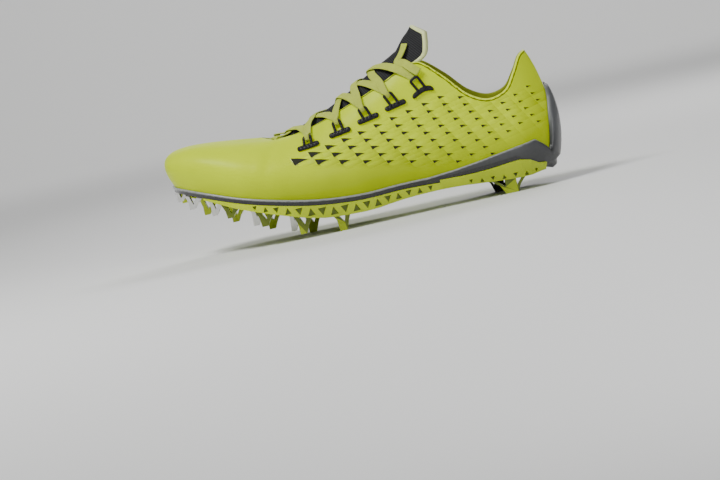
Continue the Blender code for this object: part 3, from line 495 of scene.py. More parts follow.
class Nodes:
    """A node tree whose nodes are made by one method."""

    def __init__(self, tree):
        self.tree = tree

    def node(self, kind, settings=None, values=None, output=0):
        made = self.tree.nodes.new(kind)
        for key, value in (settings or {}).items():
            setattr(made, key, value)
        pairs = values.items() if isinstance(values, dict) else enumerate(values or [])
        for key, value in pairs:
            if isinstance(value, Wire):
                self.tree.links.new(value.socket, made.inputs[key])
            else:
                made.inputs[key].default_value = value
        return None if output is None else Wire(self, made.outputs[output])


class Finish(Nodes):
    """A material: the fixed values of its shader are given by name, with _ for a space."""

    def __init__(self, name, **fixed):
        self.material = bpy.data.materials.new(name)
        self.material.use_nodes = True
        super().__init__(self.material.node_tree)
        self.shader = self.tree.nodes["Principled BSDF"]
        for key, value in fixed.items():
            self.shader.inputs[key.replace("_", " ")].default_value = value

    def parts(self, source):
        split = self.tree.nodes.new("ShaderNodeSeparateXYZ")
        self.tree.links.new(source.socket, split.inputs[0])
        return [Wire(self, socket) for socket in split.outputs]

    def place(self):
        """Where a point lies on the shoe, in metres."""
        return self.node("ShaderNodeTexCoord", output="Object")

    def sheet(self):
        """Where a point lies on its sheet, in metres."""
        return self.node("ShaderNodeUVMap", {"uv_map": "sheet"})

    def scaled(self, source, scale):
        return self.node("ShaderNodeMapping", None, {"Vector": source, "Scale": scale})

    def noise(self, source, scale, detail=3.0, roughness=0.55):
        values = {"Vector": source, "Scale": scale, "Detail": detail, "Roughness": roughness}
        return self.node("ShaderNodeTexNoise", None, values)

    def mix(self, factor, first, second):
        made = self.tree.nodes.new("ShaderNodeMix")
        made.data_type = "RGBA"
        for key, value in ((0, factor), (6, first), (7, second)):
            if isinstance(value, Wire):
                self.tree.links.new(value.socket, made.inputs[key])
            else:
                made.inputs[key].default_value = (*value, 1.0) if key else value
        return Wire(self, made.outputs[2])

    def bump(self, height, depth, below=None):
        values = {"Height": height, "Distance": depth, "Strength": 1.0}
        if below is not None:
            values["Normal"] = below
        return self.node("ShaderNodeBump", None, values)

    def attribute(self, name):
        return self.node("ShaderNodeAttribute", {"attribute_name": name}, output="Fac")

    def set(self, **sockets):
        for key, value in sockets.items():
            socket = self.shader.inputs[key.replace("_", " ")]
            if isinstance(value, Wire):
                self.tree.links.new(value.socket, socket)
            else:
                socket.default_value = value
        return self.material


# %% [markdown]
# ## Camera and light
# The photograph was taken with the toe pointing down a little: the shoe hangs in the picture at an
# angle to the floor. The camera turns about its own axis by that angle, so that the shoe can stand on
# its studs. It looks from the shoe's outer side, from a little over floor height and from far away,
# which keeps the outline flat.

# %% Camera
CAMERA_AZIMUTH = 3.0
CAMERA_ELEVATION = 2.2
CAMERA_ROLL = 12.5
CAMERA_DISTANCE = 2.2
CAMERA_LENS = 146.75
AIM = Vector((0.0, 0.0, 0.0612))
PICTURE = (720.0, 480.0)  # the photograph's frame in pixels
AIM_IN_PICTURE = (361.0, 140.0)  # pixels from its left and its top


def make_camera():
    azimuth = math.radians(CAMERA_AZIMUTH)
    rise = math.radians(CAMERA_ELEVATION)
    back = Vector(
        (
            math.sin(azimuth) * math.cos(rise),
            -math.cos(azimuth) * math.cos(rise),
            math.sin(rise),
        )
    )
    right = Vector((math.cos(azimuth), math.sin(azimuth), 0.0))
    up = back.cross(right)
    turn = Matrix.Rotation(-math.radians(CAMERA_ROLL), 3, back)
    right = turn @ right
    up = turn @ up
    data = bpy.data.cameras.new("camera")
    data.lens = CAMERA_LENS
    data.sensor_width = 36.0
    data.shift_x = (PICTURE[0] / 2 - AIM_IN_PICTURE[0]) / PICTURE[0]
    data.shift_y = -(PICTURE[1] / 2 - AIM_IN_PICTURE[1]) / PICTURE[0]
    data.clip_end = 50.0
    camera = bpy.data.objects.new("camera", data)
    pose = Matrix((right, up, back)).transposed().to_4x4()
    pose.translation = AIM + back * CAMERA_DISTANCE
    camera.matrix_world = pose
    bpy.context.scene.collection.objects.link(camera)
    bpy.context.scene.camera = camera
    return camera


camera = make_camera()
print("camera height over the floor", round(camera.location.z, 3))


# %% Floor and soft light
FLOOR_HALF = 8.0  # half its width, and half the wall's
FLOOR_FRONT = -6.0
WALL_FOOT = 3.2  # where the floor starts to curve up
WALL_CURVE = 1.2  # radius of that curve
WALL_TOP = 6.0
WORLD_COLOUR = (0.9, 0.92, 0.95, 1.0)
WORLD_STRENGTH = 0.17
LIGHTS = [
    # name, place, aim, size, power
    ("light_over_toe", (-0.55, -0.55, 1.10), (-0.03, 0.0, 0.05), (0.6, 0.4), 17.0),
    ("light_side", (0.45, -1.35, 0.55), (0.05, 0.0, 0.06), (0.5, 0.5), 5.0),
    ("light_back", (0.5, 1.0, 0.9), (0.0, 0.0, 0.05), (0.9, 0.4), 9.0),
    ("light_wall", (0.0, 2.3, 2.4), (0.0, 4.4, 0.7), (3.0, 0.8), 60.0),
]


def make_stage():
    """A pale floor whose far edge curves up into a wall, so that no edge shows behind the shoe."""
    form = bmesh.new()
    profile = [(FLOOR_FRONT, 0.0), (WALL_FOOT, 0.0)]
    for angle in np.linspace(0.1, 1.57, 14):
        run, rise = math.sin(angle) * WALL_CURVE, math.cos(angle) * WALL_CURVE
        profile.append((WALL_FOOT + run, WALL_CURVE - rise))
    profile.append((WALL_FOOT + WALL_CURVE, WALL_TOP))
    rows = [[form.verts.new((x, y, z)) for y, z in profile] for x in (-FLOOR_HALF, FLOOR_HALF)]
    for j in range(len(profile) - 1):
        form.faces.new([rows[0][j], rows[1][j], rows[1][j + 1], rows[0][j + 1]])
    mesh = new_mesh(form, "floor")
    floor = bpy.data.objects.new("floor", mesh)
    for face in mesh.polygons:
        face.use_smooth = True
    bpy.context.scene.collection.objects.link(floor)
    paper = Finish("floor_paper", Base_Color=(0.80, 0.80, 0.79, 1.0), Roughness=0.9)
    mesh.materials.append(paper.material)


def soft_light(name, place, aim, size, power):
    data = bpy.data.lights.new(name, "AREA")
    data.shape = "RECTANGLE"
    data.size, data.size_y = size
    data.energy = power
    light = bpy.data.objects.new(name, data)
    light.location = place
    light.rotation_euler = (Vector(aim) - Vector(place)).to_track_quat("-Z", "Y").to_euler()
    bpy.context.scene.collection.objects.link(light)


make_stage()
for row in LIGHTS:
    soft_light(*row)
world = bpy.data.worlds.new("studio")
world.use_nodes = True
world.node_tree.nodes["Background"].inputs[0].default_value = WORLD_COLOUR
world.node_tree.nodes["Background"].inputs[1].default_value = WORLD_STRENGTH
bpy.context.scene.world = world
print("stage and", len(LIGHTS), "lights")

# %% [markdown]
# ## The upper
# The real upper is moulded: one thin skin with no seams, satin outside and matte inside. A fine grid
# from the upper's own function gives it, with the wall's thickness turned inward. The edge round the
# throat and the collar is rolled: its last line turns in on both faces of the wall.

# %% Yellow-green moulding
YELLOW_GREEN = (0.56, 0.70, 0.0)
# The skin's colour in shade, for the painted shade on its facets and low down.
YELLOW_GREEN_SHADED = (0.17, 0.22, 0.0)
PITCH_TILT = math.radians(12.5)  # rows of perforations fall to the heel by this angle
ROW_STEP = (0.0169, 0.0)  # along a row, in the rows' own directions
LINE_STEP = (0.0119, 0.0053)  # from a row to the next one up


def to_rows(x, z):
    """A point of the side view in the rows' own directions: along a row and up from it."""
    cos, sin = math.cos(PITCH_TILT), math.sin(PITCH_TILT)
    return x * cos - z * sin, x * sin + z * cos


ROWS_START = to_rows(-0.0472, 0.0572)  # the front hole of the lowest row


def moulded_upper():
    """Satin moulding with the diamond relief between the perforations, with painted shade, a painted
    highlight along the edge and a faint painted glow.
    """
    # Painted light: the skin glows a little in its own colour. It stands in for the moulding's fluorescence
    # and also keeps the colour strong.
    skin = Finish("moulded_upper", Specular_IOR_Level=0.08, Coat_Roughness=0.2, Emission_Strength=0.20)
    x, _, z = skin.parts(skin.place())
    along, rise = to_rows(x, z)
    up = (rise - ROWS_START[1]) / LINE_STEP[1]
    across = (along - ROWS_START[0] - up * LINE_STEP[0]) / ROW_STEP[0] + 0.12
    first_way = (across.fract() - 0.5).abs()
    second_way = ((across + up).fract() - 0.5).abs()
    facets = first_way + second_way
    field = skin.attribute("pattern")
    edge = skin.attribute("edge")
    fine = skin.noise(skin.place(), 900.0, 4.0, 0.6)
    soft = skin.noise(skin.place(), 26.0, 2.0, 0.5)
    # Painted shade on the relief: each facet's colour darkens towards one side, like a lit side and a
    # shaded side. The soft noise adds a random tone.
    lean = (across.fract() - 0.5) * 0.6 + ((across + up).fract() - 0.5) * 0.6
    shade = (lean * field + soft * 0.45 - 0.05).high(0.0).low(1.0)
    # Painted shade: the skin darkens towards the bottom, where less light reaches it.
    low = 1 - z.step(0.020, 0.062)
    colour = skin.mix((shade * 0.75 + low * 0.55).low(1.0), YELLOW_GREEN, YELLOW_GREEN_SHADED)
    # Painted shadow: a dark line just under the rolled edge, along a shallow groove that the bump presses
    # in.
    shaded_groove = edge.step(0.0013, 0.0017) * (1 - edge.step(0.0021, 0.0025))
    # Painted highlight: the rolled edge itself is a paler yellow-green, as where it catches the light.
    rim = 1 - edge.step(0.0010, 0.0014)
    colour = skin.mix(shaded_groove * 0.85, colour, (0.05, 0.065, 0.0))
    colour = skin.mix(rim * 0.6, colour, (0.72, 0.84, 0.10))
    first = skin.bump(facets * field, 0.0012)
    second = skin.bump(fine * 0.25 - shaded_groove * 1.6, 0.00022, first)
    return skin.set(
        Base_Color=colour,
        Emission_Color=colour,
        Roughness=0.30 + fine * 0.10 + rim * 0.2,
        Coat_Weight=0.01 + soft * 0.03,
        Normal=second,
    )


def inner_lining():
    """The matte lining, darker than the skin, with a fine knit."""
    cloth = Finish("inner_lining", Roughness=0.85)
    u, v, _ = cloth.parts(cloth.sheet())
    knit = (u * 5200.0).sine() * (v * 5200.0).sine()
    wear = cloth.noise(cloth.place(), 40.0, 3.0)
    colour = cloth.mix(wear * 0.6 + knit * 0.08, (0.40, 0.46, 0.02), (0.22, 0.27, 0.01))
    return cloth.set(Base_Color=colour, Normal=cloth.bump(knit, 0.00012))


# %% The fine upper
AROUND_FINE = 220  # stations on each side
LEVELS_FINE = 60
EDGE_ROLL = 0.00075  # how far the rolled edge turns in at its last line


def fine_shares(steps):
    """Shares from toe to heel, closer together at both ends."""
    return [(1 - math.cos(math.pi * i / steps)) / 2 * 0.45 + i / steps * 0.55 for i in range(steps + 1)]


def stations(steps):
    shares = fine_shares(steps)
    return shares + [-share for share in shares[-2:0:-1]]


# Soft creases: where each lies in the side view, which way it runs, and how far it
# goes in.
CREASES = [
    # side, x, z, angle, half_length, half_width, depth
    (1, -0.066, 0.066, 62.0, 0.014, 0.0034, 0.00045),
    (1, -0.076, 0.062, 70.0, 0.013, 0.0036, -0.00030),
    (-1, -0.060, 0.066, 64.0, 0.014, 0.0034, 0.00045),
    (1, 0.060, 0.078, -38.0, 0.015, 0.0040, 0.00050),
    (-1, 0.060, 0.078, -38.0, 0.015, 0.0040, 0.00050),
    (1, 0.112, 0.078, 74.0, 0.018, 0.0045, 0.00040),
    (-1, 0.112, 0.078, 74.0, 0.018, 0.0045, 0.00040),
]


def crease_depth(turn, place):
    """How far the skin goes in at a place: a sum of soft troughs and ridges."""
    total = 0.0
    for side, x, z, angle, half_length, half_width, depth in CREASES:
        if side * turn < 0:
            continue
        cos, sin = math.cos(math.radians(angle)), math.sin(math.radians(angle))
        run = (place[0] - x) * cos + (place[2] - z) * sin
        off = (place[2] - z) * cos - (place[0] - x) * sin
        total += depth * math.exp(-((run / half_length) ** 2) - (off / half_width) ** 2)
    return total


def make_upper():
    outer = []
    inner = []
    for turn in stations(AROUND_FINE):
        outside = []
        inside = []
        for level in [j / LEVELS_FINE for j in range(LEVELS_FINE + 1)]:
            normal = upper_normal(turn, level)
            place = upper_point(turn, level)
            place = place - normal * crease_depth(turn, place)
            left = (1 - level) * LEVELS_FINE
            roll = EDGE_ROLL * max(0.0, 1.0 - left) ** 2
            outside.append(place - normal * roll)
            inside.append(place - normal * (UPPER_WALL - roll))
        outer.append(outside)
        inner.append(inside)
    return sheet_mesh("upper_skin", outer, inner, wrap=True)


def store_fields(mesh):
    """Keeps on each point its distance from the edge, and how far it lies in the holes' field."""
    places = vertex_places(mesh)
    store(mesh, "edge", nearest(places, [top_line(turn) for turn in stations(160)]))
    along, rise = to_rows(places[:, 0], places[:, 2])
    start_along, start_rise = ROWS_START
    up = (rise - start_rise) / LINE_STEP[1]
    across = (along - start_along - up * LINE_STEP[0]) / ROW_STEP[0]
    inside = (
        np.clip((up + 0.8) / 0.5, 0, 1)
        * np.clip((10.5 - up) / 2.0, 0, 1)
        * np.clip((across + 0.6) / 1.0, 0, 1)
        * np.clip((8.0 - across) / 4.0, 0, 1)
    )
    store(mesh, "pattern", inside)


upper_mesh = make_upper()
store_fields(upper_mesh)
upper_piece = new_piece(
    "upper_skin", upper_mesh, [moulded_upper(), inner_lining()], "upper", "volt_moulding"
)
print("upper", len(upper_mesh.polygons), "faces")

# %% [markdown]
# ## Round eyelets
# The lace starts at one round eyelet on each side. Each is a real hole through the skin, cut by a short
# round rod that stands square to the surface.


# %% Eyelet holes
def eyelet_place(side):
    turn = turn_at(side, TOE_X + EYELET_ALONG * UPPER_LENGTH, EYELET_LEVEL)
    return upper_point(turn, EYELET_LEVEL), upper_normal(turn, EYELET_LEVEL)


def cut_eyelets(piece):
    """Cuts both holes with one tool, then throws the tool away."""
    form = bmesh.new()
    for side in (1, -1):
        centre, normal = eyelet_place(side)
        turned = Vector(normal).to_track_quat("Z", "Y").to_matrix().to_4x4()
        spot = Matrix.Translation(Vector(centre)) @ turned
        radius = EYELET_WIDTH / 2
        bmesh.ops.create_cone(
            form, cap_ends=True, segments=32, radius1=radius, radius2=radius, depth=0.012, matrix=spot
        )
    tool = bpy.data.objects.new("eyelet_tool", new_mesh(form, "eyelet_tool"))
    bpy.context.scene.collection.objects.link(tool)
    step = piece.modifiers.new("eyelets", "BOOLEAN")
    step.operation = "DIFFERENCE"
    step.solver = "EXACT"
    step.object = tool
    settle(piece)
    bpy.data.objects.remove(tool, do_unlink=True)


def settle(piece):
    """Keeps what a piece's modifiers make as its own mesh and removes them."""
    bpy.context.view_layer.update()
    graph = bpy.context.evaluated_depsgraph_get()
    made = bpy.data.meshes.new_from_object(piece.evaluated_get(graph))
    piece.modifiers.clear()
    old = piece.data
    piece.data = made
    bpy.data.meshes.remove(old)


cut_eyelets(upper_piece)
print("eyelets cut", len(upper_piece.data.polygons), "faces")

# %% [markdown]
# ## Perforations
# The real skin has slanted rows of small triangular holes, large at the front of the lowest row and
# small at the heel. Their centres follow one rule. Cutting them would break the fine grid, so each
# hole is a low raised lip round a dark floor, which paints the shade inside a real hole.
# Geometry Nodes puts one on each centre and presses it onto the skin along the shoe's width, so that
# it bends with it.

# %% Where the holes lie
HOLE_SHIFT = 0.01165  # from the front hole of a row to that of the next, along the rows
HOLE_RISE = 0.00525  # from a row to the next, across the rows
HOLE_STEP = (0.0169, -0.00023)  # from hole to hole, and what each row adds to that
HOLE_PLANE = 0.09  # how far out the centres wait before they drop onto the skin
HOLE_ROWS = [
    # row, first, last: which holes of the row there are
    (0, 0, 8),
    (1, 0, 8),
    (2, 0, 7),
    (3, 0, 7),
    (4, 0, 7),
    (5, 0, 8),
    (6, 0, 7),
    (7, 0, 6),
    (8, 0, 2),
    (8, 4, 6),
    (9, 0, 1),
    (9, 4, 5),
    (10, 4, 4),
]


def hole_places():
    """Along, up and size of each hole, in the rows' own directions."""
    places = []
    for row, first, last in HOLE_ROWS:
        for place in range(first, last + 1):
            along = HOLE_SHIFT * row + place * (HOLE_STEP[0] + HOLE_STEP[1] * row)
            back = max(0.0, along - 0.135)
            along -= back * 0.14
            rise = HOLE_RISE * row + back * 0.06
            front = max(0.0, 1.0 - along / 0.060) ** 1.5 * max(0.0, 1 - row * 0.22)
            size = 0.0080 - 0.0044 * min(1.0, along / 0.175) + 0.0048 * front
            places.append((along, rise, size))
    return places


def hole_centres(side):
    """A mesh of loose points, one for each hole, drawn on a plane beside the shoe."""
    cos, sin = math.cos(PITCH_TILT), math.sin(PITCH_TILT)
    points = []
    sizes = []
    for along, rise, size in hole_places():
        a = ROWS_START[0] + along
        b = ROWS_START[1] + rise
        points.append((a * cos + b * sin, -HOLE_PLANE * side, b * cos - a * sin))
        sizes.append(size)
    mesh = bpy.data.meshes.new("hole_centres")
    mesh.from_pydata(points, [], [])
    store(mesh, "size", sizes)
    return mesh


def hole_pattern():
    """One hole of unit length: an outline, a lip and a floor, with the height of each point kept apart."""
    corners = [(-0.38, 0.15), (0.0, 0.165), (0.36, 0.15), (0.60, 0.14), (0.32, 0.03), (0.10, -0.08)]
    corners += [(-0.08, -0.22), (-0.18, -0.17), (-0.28, 0.0)]
    outline = []
    for (x, y), (next_x, next_y) in zip(corners, corners[1:] + corners[:1]):
        for t in (0.0, 0.25, 0.5, 0.75):
            outline.append((x + (next_x - x) * t, y + (next_y - y) * t))
    middle = Vector((-0.04, 0.05))
    levels = [(1.22, -0.0001), (1.14, 0.00022), (1.05, 0.00030), (0.97, 0.00014)]
    levels += [(0.80, 0.00010), (0.60, 0.00010), (0.40, 0.00010), (0.20, 0.00010)]
    form = bmesh.new()
    high = form.verts.layers.float.new("height")
    floor = form.faces.layers.float.new("floor")
    rings = []
    for scale, lift in levels:
        ring = []
        for x, y in outline:
            spot = middle + (Vector((x, y)) - middle) * scale
            point = form.verts.new((spot.x, 0.0, spot.y))
            point[high] = lift
            ring.append(point)
        rings.append(ring)
    count = len(outline)
    for k in range(len(levels) - 1):
        for i in range(count):
            j = (i + 1) % count
            face = form.faces.new([rings[k][i], rings[k][j], rings[k + 1][j], rings[k + 1][i]])
            face[floor] = 0.0 if k < 2 else 1.0
    centre = form.verts.new((middle.x, 0.0, middle.y))
    centre[high] = levels[-1][1]
    for i in range(count):
        face = form.faces.new([rings[-1][i], rings[-1][(i + 1) % count], centre])
        face[floor] = 1.0
    return new_mesh(form, "hole_pattern")


# %% One node tree for both sides
HOLE_INPUTS = {
    "Centres": "Geometry",
    "Hole": "Object",
    "Skin": "Object",
    "Row tilt": "Float",
    "Way in": "Float",
    "Lip": "Material",
    "Floor": "Material",
}


def holes_tree():
    """Instances the hole on each centre, then drops every point onto the skin along the shoe's width."""
    tree = bpy.data.node_groups.new("perforations", "GeometryNodeTree")
    for name, kind in HOLE_INPUTS.items():
        tree.interface.new_socket(name, in_out="INPUT", socket_type=f"NodeSocket{kind}")
    tree.interface.new_socket("Geometry", in_out="OUTPUT", socket_type="NodeSocketGeometry")
    steps = Nodes(tree)
    given = steps.node("NodeGroupInput").other

    def shape_of(name):
        return steps.node("GeometryNodeObjectInfo", None, {"Object": given(name)}, "Geometry")

    def kept(name):
        settings = {"data_type": "FLOAT"}
        return steps.node("GeometryNodeInputNamedAttribute", settings, {"Name": name}, "Attribute")

    def vector(operation, values):
        return steps.node("ShaderNodeVectorMath", {"operation": operation}, values, "Vector")

    values = {
        "Points": steps.node("GeometryNodeMeshToPoints", None, {"Mesh": given("Centres")}, "Points"),
        "Instance": shape_of("Hole"),
        "Rotation": steps.node("ShaderNodeCombineXYZ", None, {"Y": given("Row tilt")}),
        "Scale": kept("size"),
    }
    placed = steps.node("GeometryNodeInstanceOnPoints", None, values)
    real = steps.node("GeometryNodeRealizeInstances", None, {"Geometry": placed})
    way = steps.node("ShaderNodeCombineXYZ", None, {"Y": given("Way in")})
    hit = steps.node("GeometryNodeRaycast", None, {0: shape_of("Skin"), "Ray Direction": way}, "Is Hit")
    lift = vector("SCALE", {0: hit.other("Hit Normal"), "Scale": kept("height")})
    spot = vector("ADD", {0: hit.other("Hit Position"), 1: lift})
    values = {"Geometry": real, "Selection": hit, "Position": spot}
    moved = steps.node("GeometryNodeSetPosition", None, values)
    values = {"Geometry": moved, "Material": given("Lip")}
    lip = steps.node("GeometryNodeSetMaterial", None, values)
    values = {"Geometry": lip, "Selection": kept("floor"), "Material": given("Floor")}
    floor = steps.node("GeometryNodeSetMaterial", None, values)
    steps.node("NodeGroupOutput", None, {"Geometry": floor}, None)
    return tree


# Painted shade: the holes' near-black floors stand for the shade inside real holes.
def painted_hole_shade():
    made = Finish("hole_painted_shade", Roughness=0.85)
    fine = made.noise(made.place(), 600.0, 2.0)
    return made.set(Base_Color=made.mix(fine, (0.004, 0.005, 0.001), (0.020, 0.024, 0.002)))


def hole_lip():
    made = Finish("hole_lip", Roughness=0.34)
    fine = made.noise(made.place(), 600.0, 2.0)
    return made.set(Base_Color=made.mix(fine, YELLOW_GREEN, (0.52, 0.62, 0.0)), Coat_Weight=0.2)


def set_inputs(step, values):
    """Sets the inputs of a Geometry Nodes modifier through their sockets' identifiers."""
    for item in step.node_group.interface.items_tree:
        if item.in_out == "INPUT" and item.name in values:
            step[item.identifier] = values[item.name]


pattern = bpy.data.objects.new("hole_pattern", hole_pattern())
bpy.context.scene.collection.objects.link(pattern)
lip_finish = hole_lip()
hole_shade_finish = painted_hole_shade()
tree = holes_tree()
for side, word in ((1, "lateral"), (-1, "medial")):
    holes = new_piece(f"perforations_{word}", hole_centres(side), [], None, "volt_moulding")
    step = holes.modifiers.new("perforations", "NODES")
    step.node_group = tree
    values = {"Hole": pattern, "Skin": upper_piece, "Row tilt": PITCH_TILT, "Way in": float(side)}
    set_inputs(step, {**values, "Lip": lip_finish, "Floor": hole_shade_finish})
    settle(holes)
    form = bmesh.new()
    form.from_mesh(holes.data)
    stray = [point for point in form.verts if abs(point.co.y) > 0.07]
    bmesh.ops.delete(form, geom=stray, context="VERTS")
    turned = [face for face in form.faces if face.normal.y * -side < 0]
    bmesh.ops.reverse_faces(form, faces=turned)
    form.to_mesh(holes.data)
    form.free()
    print("perforations", word, len(holes.data.polygons), "faces")
bpy.data.objects.remove(pattern, do_unlink=True)

# %% [markdown]
# ## The plate and the heel counter
# The dark plate runs under the whole foot. Its rim is a thin band along the sides, and at the heel
# the rim grows into a counter: a wing on either side and a ridge up the back. The ridge starts thin
# at its top edge and is thickest a third of the way down.

# %% The plate's shape
def rim_swell(turn, share_up):
    """How thick the rim is at a share of its height: the counter's back is thin at the top."""
    swell = math.sin(math.pi * (0.02 + 0.72 * (1 - share_up) ** 0.6))
    return RIM_THICK + (rim_thick(turn) - RIM_THICK) * swell


ACROSS = 6  # steps of the solid across the bottom, one of which the drop takes at either edge
# How far the plate's underside drops at the heel, as a share of HEEL_DROP.
HEEL_UNDERSIDE = [
    # share, drop
    (0.885, 0.00),
    (0.930, 0.50),
    (0.960, 1.00),
    (0.985, 0.70),
    (1.00, 0.00),
]


def heel_drop(share, across):
    """The drop at a place across the plate: none at its edges, all of it a step in from them."""
    inside = min(across, 1 - across) * ACROSS
    return HEEL_DROP * column(HEEL_UNDERSIDE, 1, share) * min(max(inside, 0.0), 1.0)


def under_plate(share, across):
    """The underside of the plate: across runs from 0 at its medial edge to 1 at its lateral edge."""
    edges = []
    for turn in (share, -share):
        edges.append(sole_line(turn) + outward(turn) * (GAP + RIM_THICK))
    place = edges[1] + (edges[0] - edges[1]) * across
    return place - UP * (GAP + PLATE_THICK + heel_drop(share, across))


RIM_FINE = 22  # lines up the rim
ROWS_FINE = 170  # stations from toe to heel
FLOOR_FINE = 24  # lines across the bottom
TOP_EDGE = 0.45  # share of the rim's thickness that is left at its top edge


def rim_section(turn):
    """The inside and outside of the rim at one station, from its top edge down."""
    top = level_at(turn, rim_rise(turn))
    inside = []
    outside = []
    for k in range(RIM_FINE, 0, -1):
        level = top * k / RIM_FINE
        normal = upper_normal(turn, level)
        place = upper_point(turn, level)
        thick = rim_swell(turn, k / RIM_FINE) * (TOP_EDGE if k == RIM_FINE else 1.0)
        inside.append(place + normal * GAP)
        outside.append(place + normal * (GAP + thick))
    inside.append(sole_line(turn) + outward(turn) * GAP - UP * GAP)
    return inside, outside


def make_plate():
    outer = []
    inner = []
    for share in fine_shares(ROWS_FINE):
        in_lateral, out_lateral = rim_section(share)
        in_medial, out_medial = rim_section(-share)
        steps = [j / FLOOR_FINE for j in range(FLOOR_FINE + 1)]
        floor = [in_lateral[-1] + (in_medial[-1] - in_lateral[-1]) * step for step in steps]
        under = [under_plate(share, 1 - step) for step in steps]
        inner.append(in_lateral[:-1] + floor + in_medial[:-1][::-1])
        outer.append(out_lateral + under + out_medial[::-1])
    return sheet_mesh("dark_plate", outer, inner)


# Where the grey counter ends over the black plate, in the side view.
COUNTER_FOOT = [
    # x, z
    (-0.1500, 0.0600),
    (0.0450, 0.0235),
    (0.0600, 0.0225),
    (0.0975, 0.0250),
    (0.1115, 0.0262),
    (0.1195, 0.0200),
    (0.1260, 0.0150),
    (0.1298, 0.0100),
    (0.1500, 0.0080),
]
COUNTER_FRONT = 0.05  # x where its grey begins
# The pale line along the rim's top edge is a painted highlight.
RIM_HIGHLIGHT_WIDTH = 0.0021  # how wide the pale line along the rim is


def store_counter(mesh):
    """Keeps on each point how far it is grey counter, not black plate, and how near the rim's edge, where a
    painted highlight runs.
    """
    places = vertex_places(mesh)
    split = np.interp(places[:, 0], [x for x, _ in COUNTER_FOOT], [z for _, z in COUNTER_FOOT])
    over = np.clip((places[:, 2] - split) / 0.0006, 0, 1)
    store(mesh, "counter", over * np.clip((places[:, 0] - COUNTER_FRONT) / 0.01, 0, 1))
    edge = []
    for share in np.linspace(0.0, 1.0, 240):
        for turn in (share, -share):
            edge.append(upper_point(turn, level_at(turn, rim_rise(turn))))
    store(mesh, "rim", np.clip((RIM_HIGHLIGHT_WIDTH - nearest(places, edge)) / 0.0004, 0, 1))


def plate_finish():
    """Glossy black below, and on the counter a dark grey painted lighter towards its top as a sheen, with a
    painted highlight along the rim's top edge.
    """
    made = Finish("dark_plate_finish", Coat_Roughness=0.12)
    place = made.place()
    grey = made.attribute("counter")
    _, _, z = made.parts(place)
    fine = made.noise(place, 420.0, 4.0, 0.6)
    broad = made.noise(place, 30.0, 2.0)
    # Painted sheen: the counter's own dark grey is painted lighter towards its top, as where more light
    # falls on it.
    height = z.step(0.020, 0.050)
    black = made.mix(broad * 0.5, (0.005, 0.005, 0.006), (0.014, 0.014, 0.015))
    light = made.mix(height * 0.8 + fine * 0.2, (0.022, 0.023, 0.025), (0.120, 0.124, 0.130))
    # Painted highlight: a pale grey line along the rim's top edge.
    rim = made.attribute("rim")
    colour = made.mix(grey, black, light)
    colour = made.mix(rim, colour, (0.30, 0.31, 0.32))
    return made.set(
        Base_Color=colour,
        Roughness=0.24 + grey * 0.12 + fine * 0.08,
        Coat_Weight=0.5 - grey * 0.25,
        Normal=made.bump(fine, 0.00006),
    )


plate_mesh = make_plate()
store_counter(plate_mesh)
black_finish = plate_finish()
new_piece("dark_plate", plate_mesh, [black_finish, black_finish], "sole_plate", "dark_plate")
print("plate", len(plate_mesh.polygons), "faces")

# %% [markdown]
# ## The moulded frame, its studs and the insole
# These solids already have their right shapes. A small bevel on their edges catches the light the way
# moulded plastic does, and each gets a material of its own: a translucent-looking yellow-green for
# the frame, bright metal for the loose studs and black for the heel's inner pad.


# %% Bevelled solids with new materials
def frame_finish():
    made = Finish("frame_moulding", Specular_IOR_Level=0.35, Coat_Roughness=0.2)
    place = made.place()
    fine = made.noise(place, 500.0, 3.0)
    broad = made.noise(place, 35.0, 2.0)
    _, _, z = made.parts(place)
    # Painted shade: the frame darkens towards its bottom, where less light falls. The broad noise is a
    # random tone.
    low = 1 - z.step(0.004, 0.030)
    colour = made.mix((broad * 0.5 + low * 0.4).low(1.0), (0.58, 0.72, 0.0), (0.22, 0.29, 0.0))
    return made.set(
        Base_Color=colour, Roughness=0.30 + fine * 0.1, Coat_Weight=0.10, Normal=made.bump(fine, 0.00005)
    )


def metal_finish():
    made = Finish("stud_metal_finish", Metallic=1.0)
    place = made.place()
    fine = made.noise(made.scaled(place, (400.0, 400.0, 2600.0)), 1.0, 3.0)
    broad = made.noise(place, 60.0, 2.0)
    colour = made.mix(broad * 0.6, (0.72, 0.72, 0.70), (0.50, 0.50, 0.50))
    return made.set(
        Base_Color=colour, Roughness=0.26 + fine * 0.14, Normal=made.bump(fine, 0.00004)
    )


def foam_finish():
    made = Finish("insole_cloth")
    place = made.place()
    x, y, _ = made.parts(place)
    weave = (x * 4200.0).sine() * (y * 4200.0).sine()
    wear = made.noise(place, 45.0, 3.0)
    colour = made.mix(wear * 0.7 + weave * 0.1, (0.34, 0.40, 0.02), (0.16, 0.20, 0.008))
    return made.set(Base_Color=colour, Roughness=0.9, Normal=made.bump(weave, 0.0001))


def round_edges(item, width):
    step = item.modifiers.new("rounded edges", "BEVEL")
    step.width = width
    step.segments = 2
    step.limit_method = "ANGLE"
    step.angle_limit = math.radians(38)


def dress_solid(node, material, width):
    """Gives a solid of the frame its material and rounds its edges."""
    item = bpy.data.objects[node]
    item.data.materials.clear()
    item.data.materials.append(material)
    round_edges(item, width)


# Painted shade: a darker yellow-green on the pits' inner faces, where shade falls in the recesses.
def pit_shade_finish():
    made = Finish("pit_shade", Roughness=0.5)
    fine = made.noise(made.place(), 300.0, 3.0)
    return made.set(Base_Color=made.mix(fine, (0.16, 0.21, 0.0), (0.07, 0.095, 0.0)))


PIT_FACE = 0.00002  # the largest face in a pit, in square metres
PIT_INSET = 0.0009  # how far inside the frame's side a pit's face lies at least


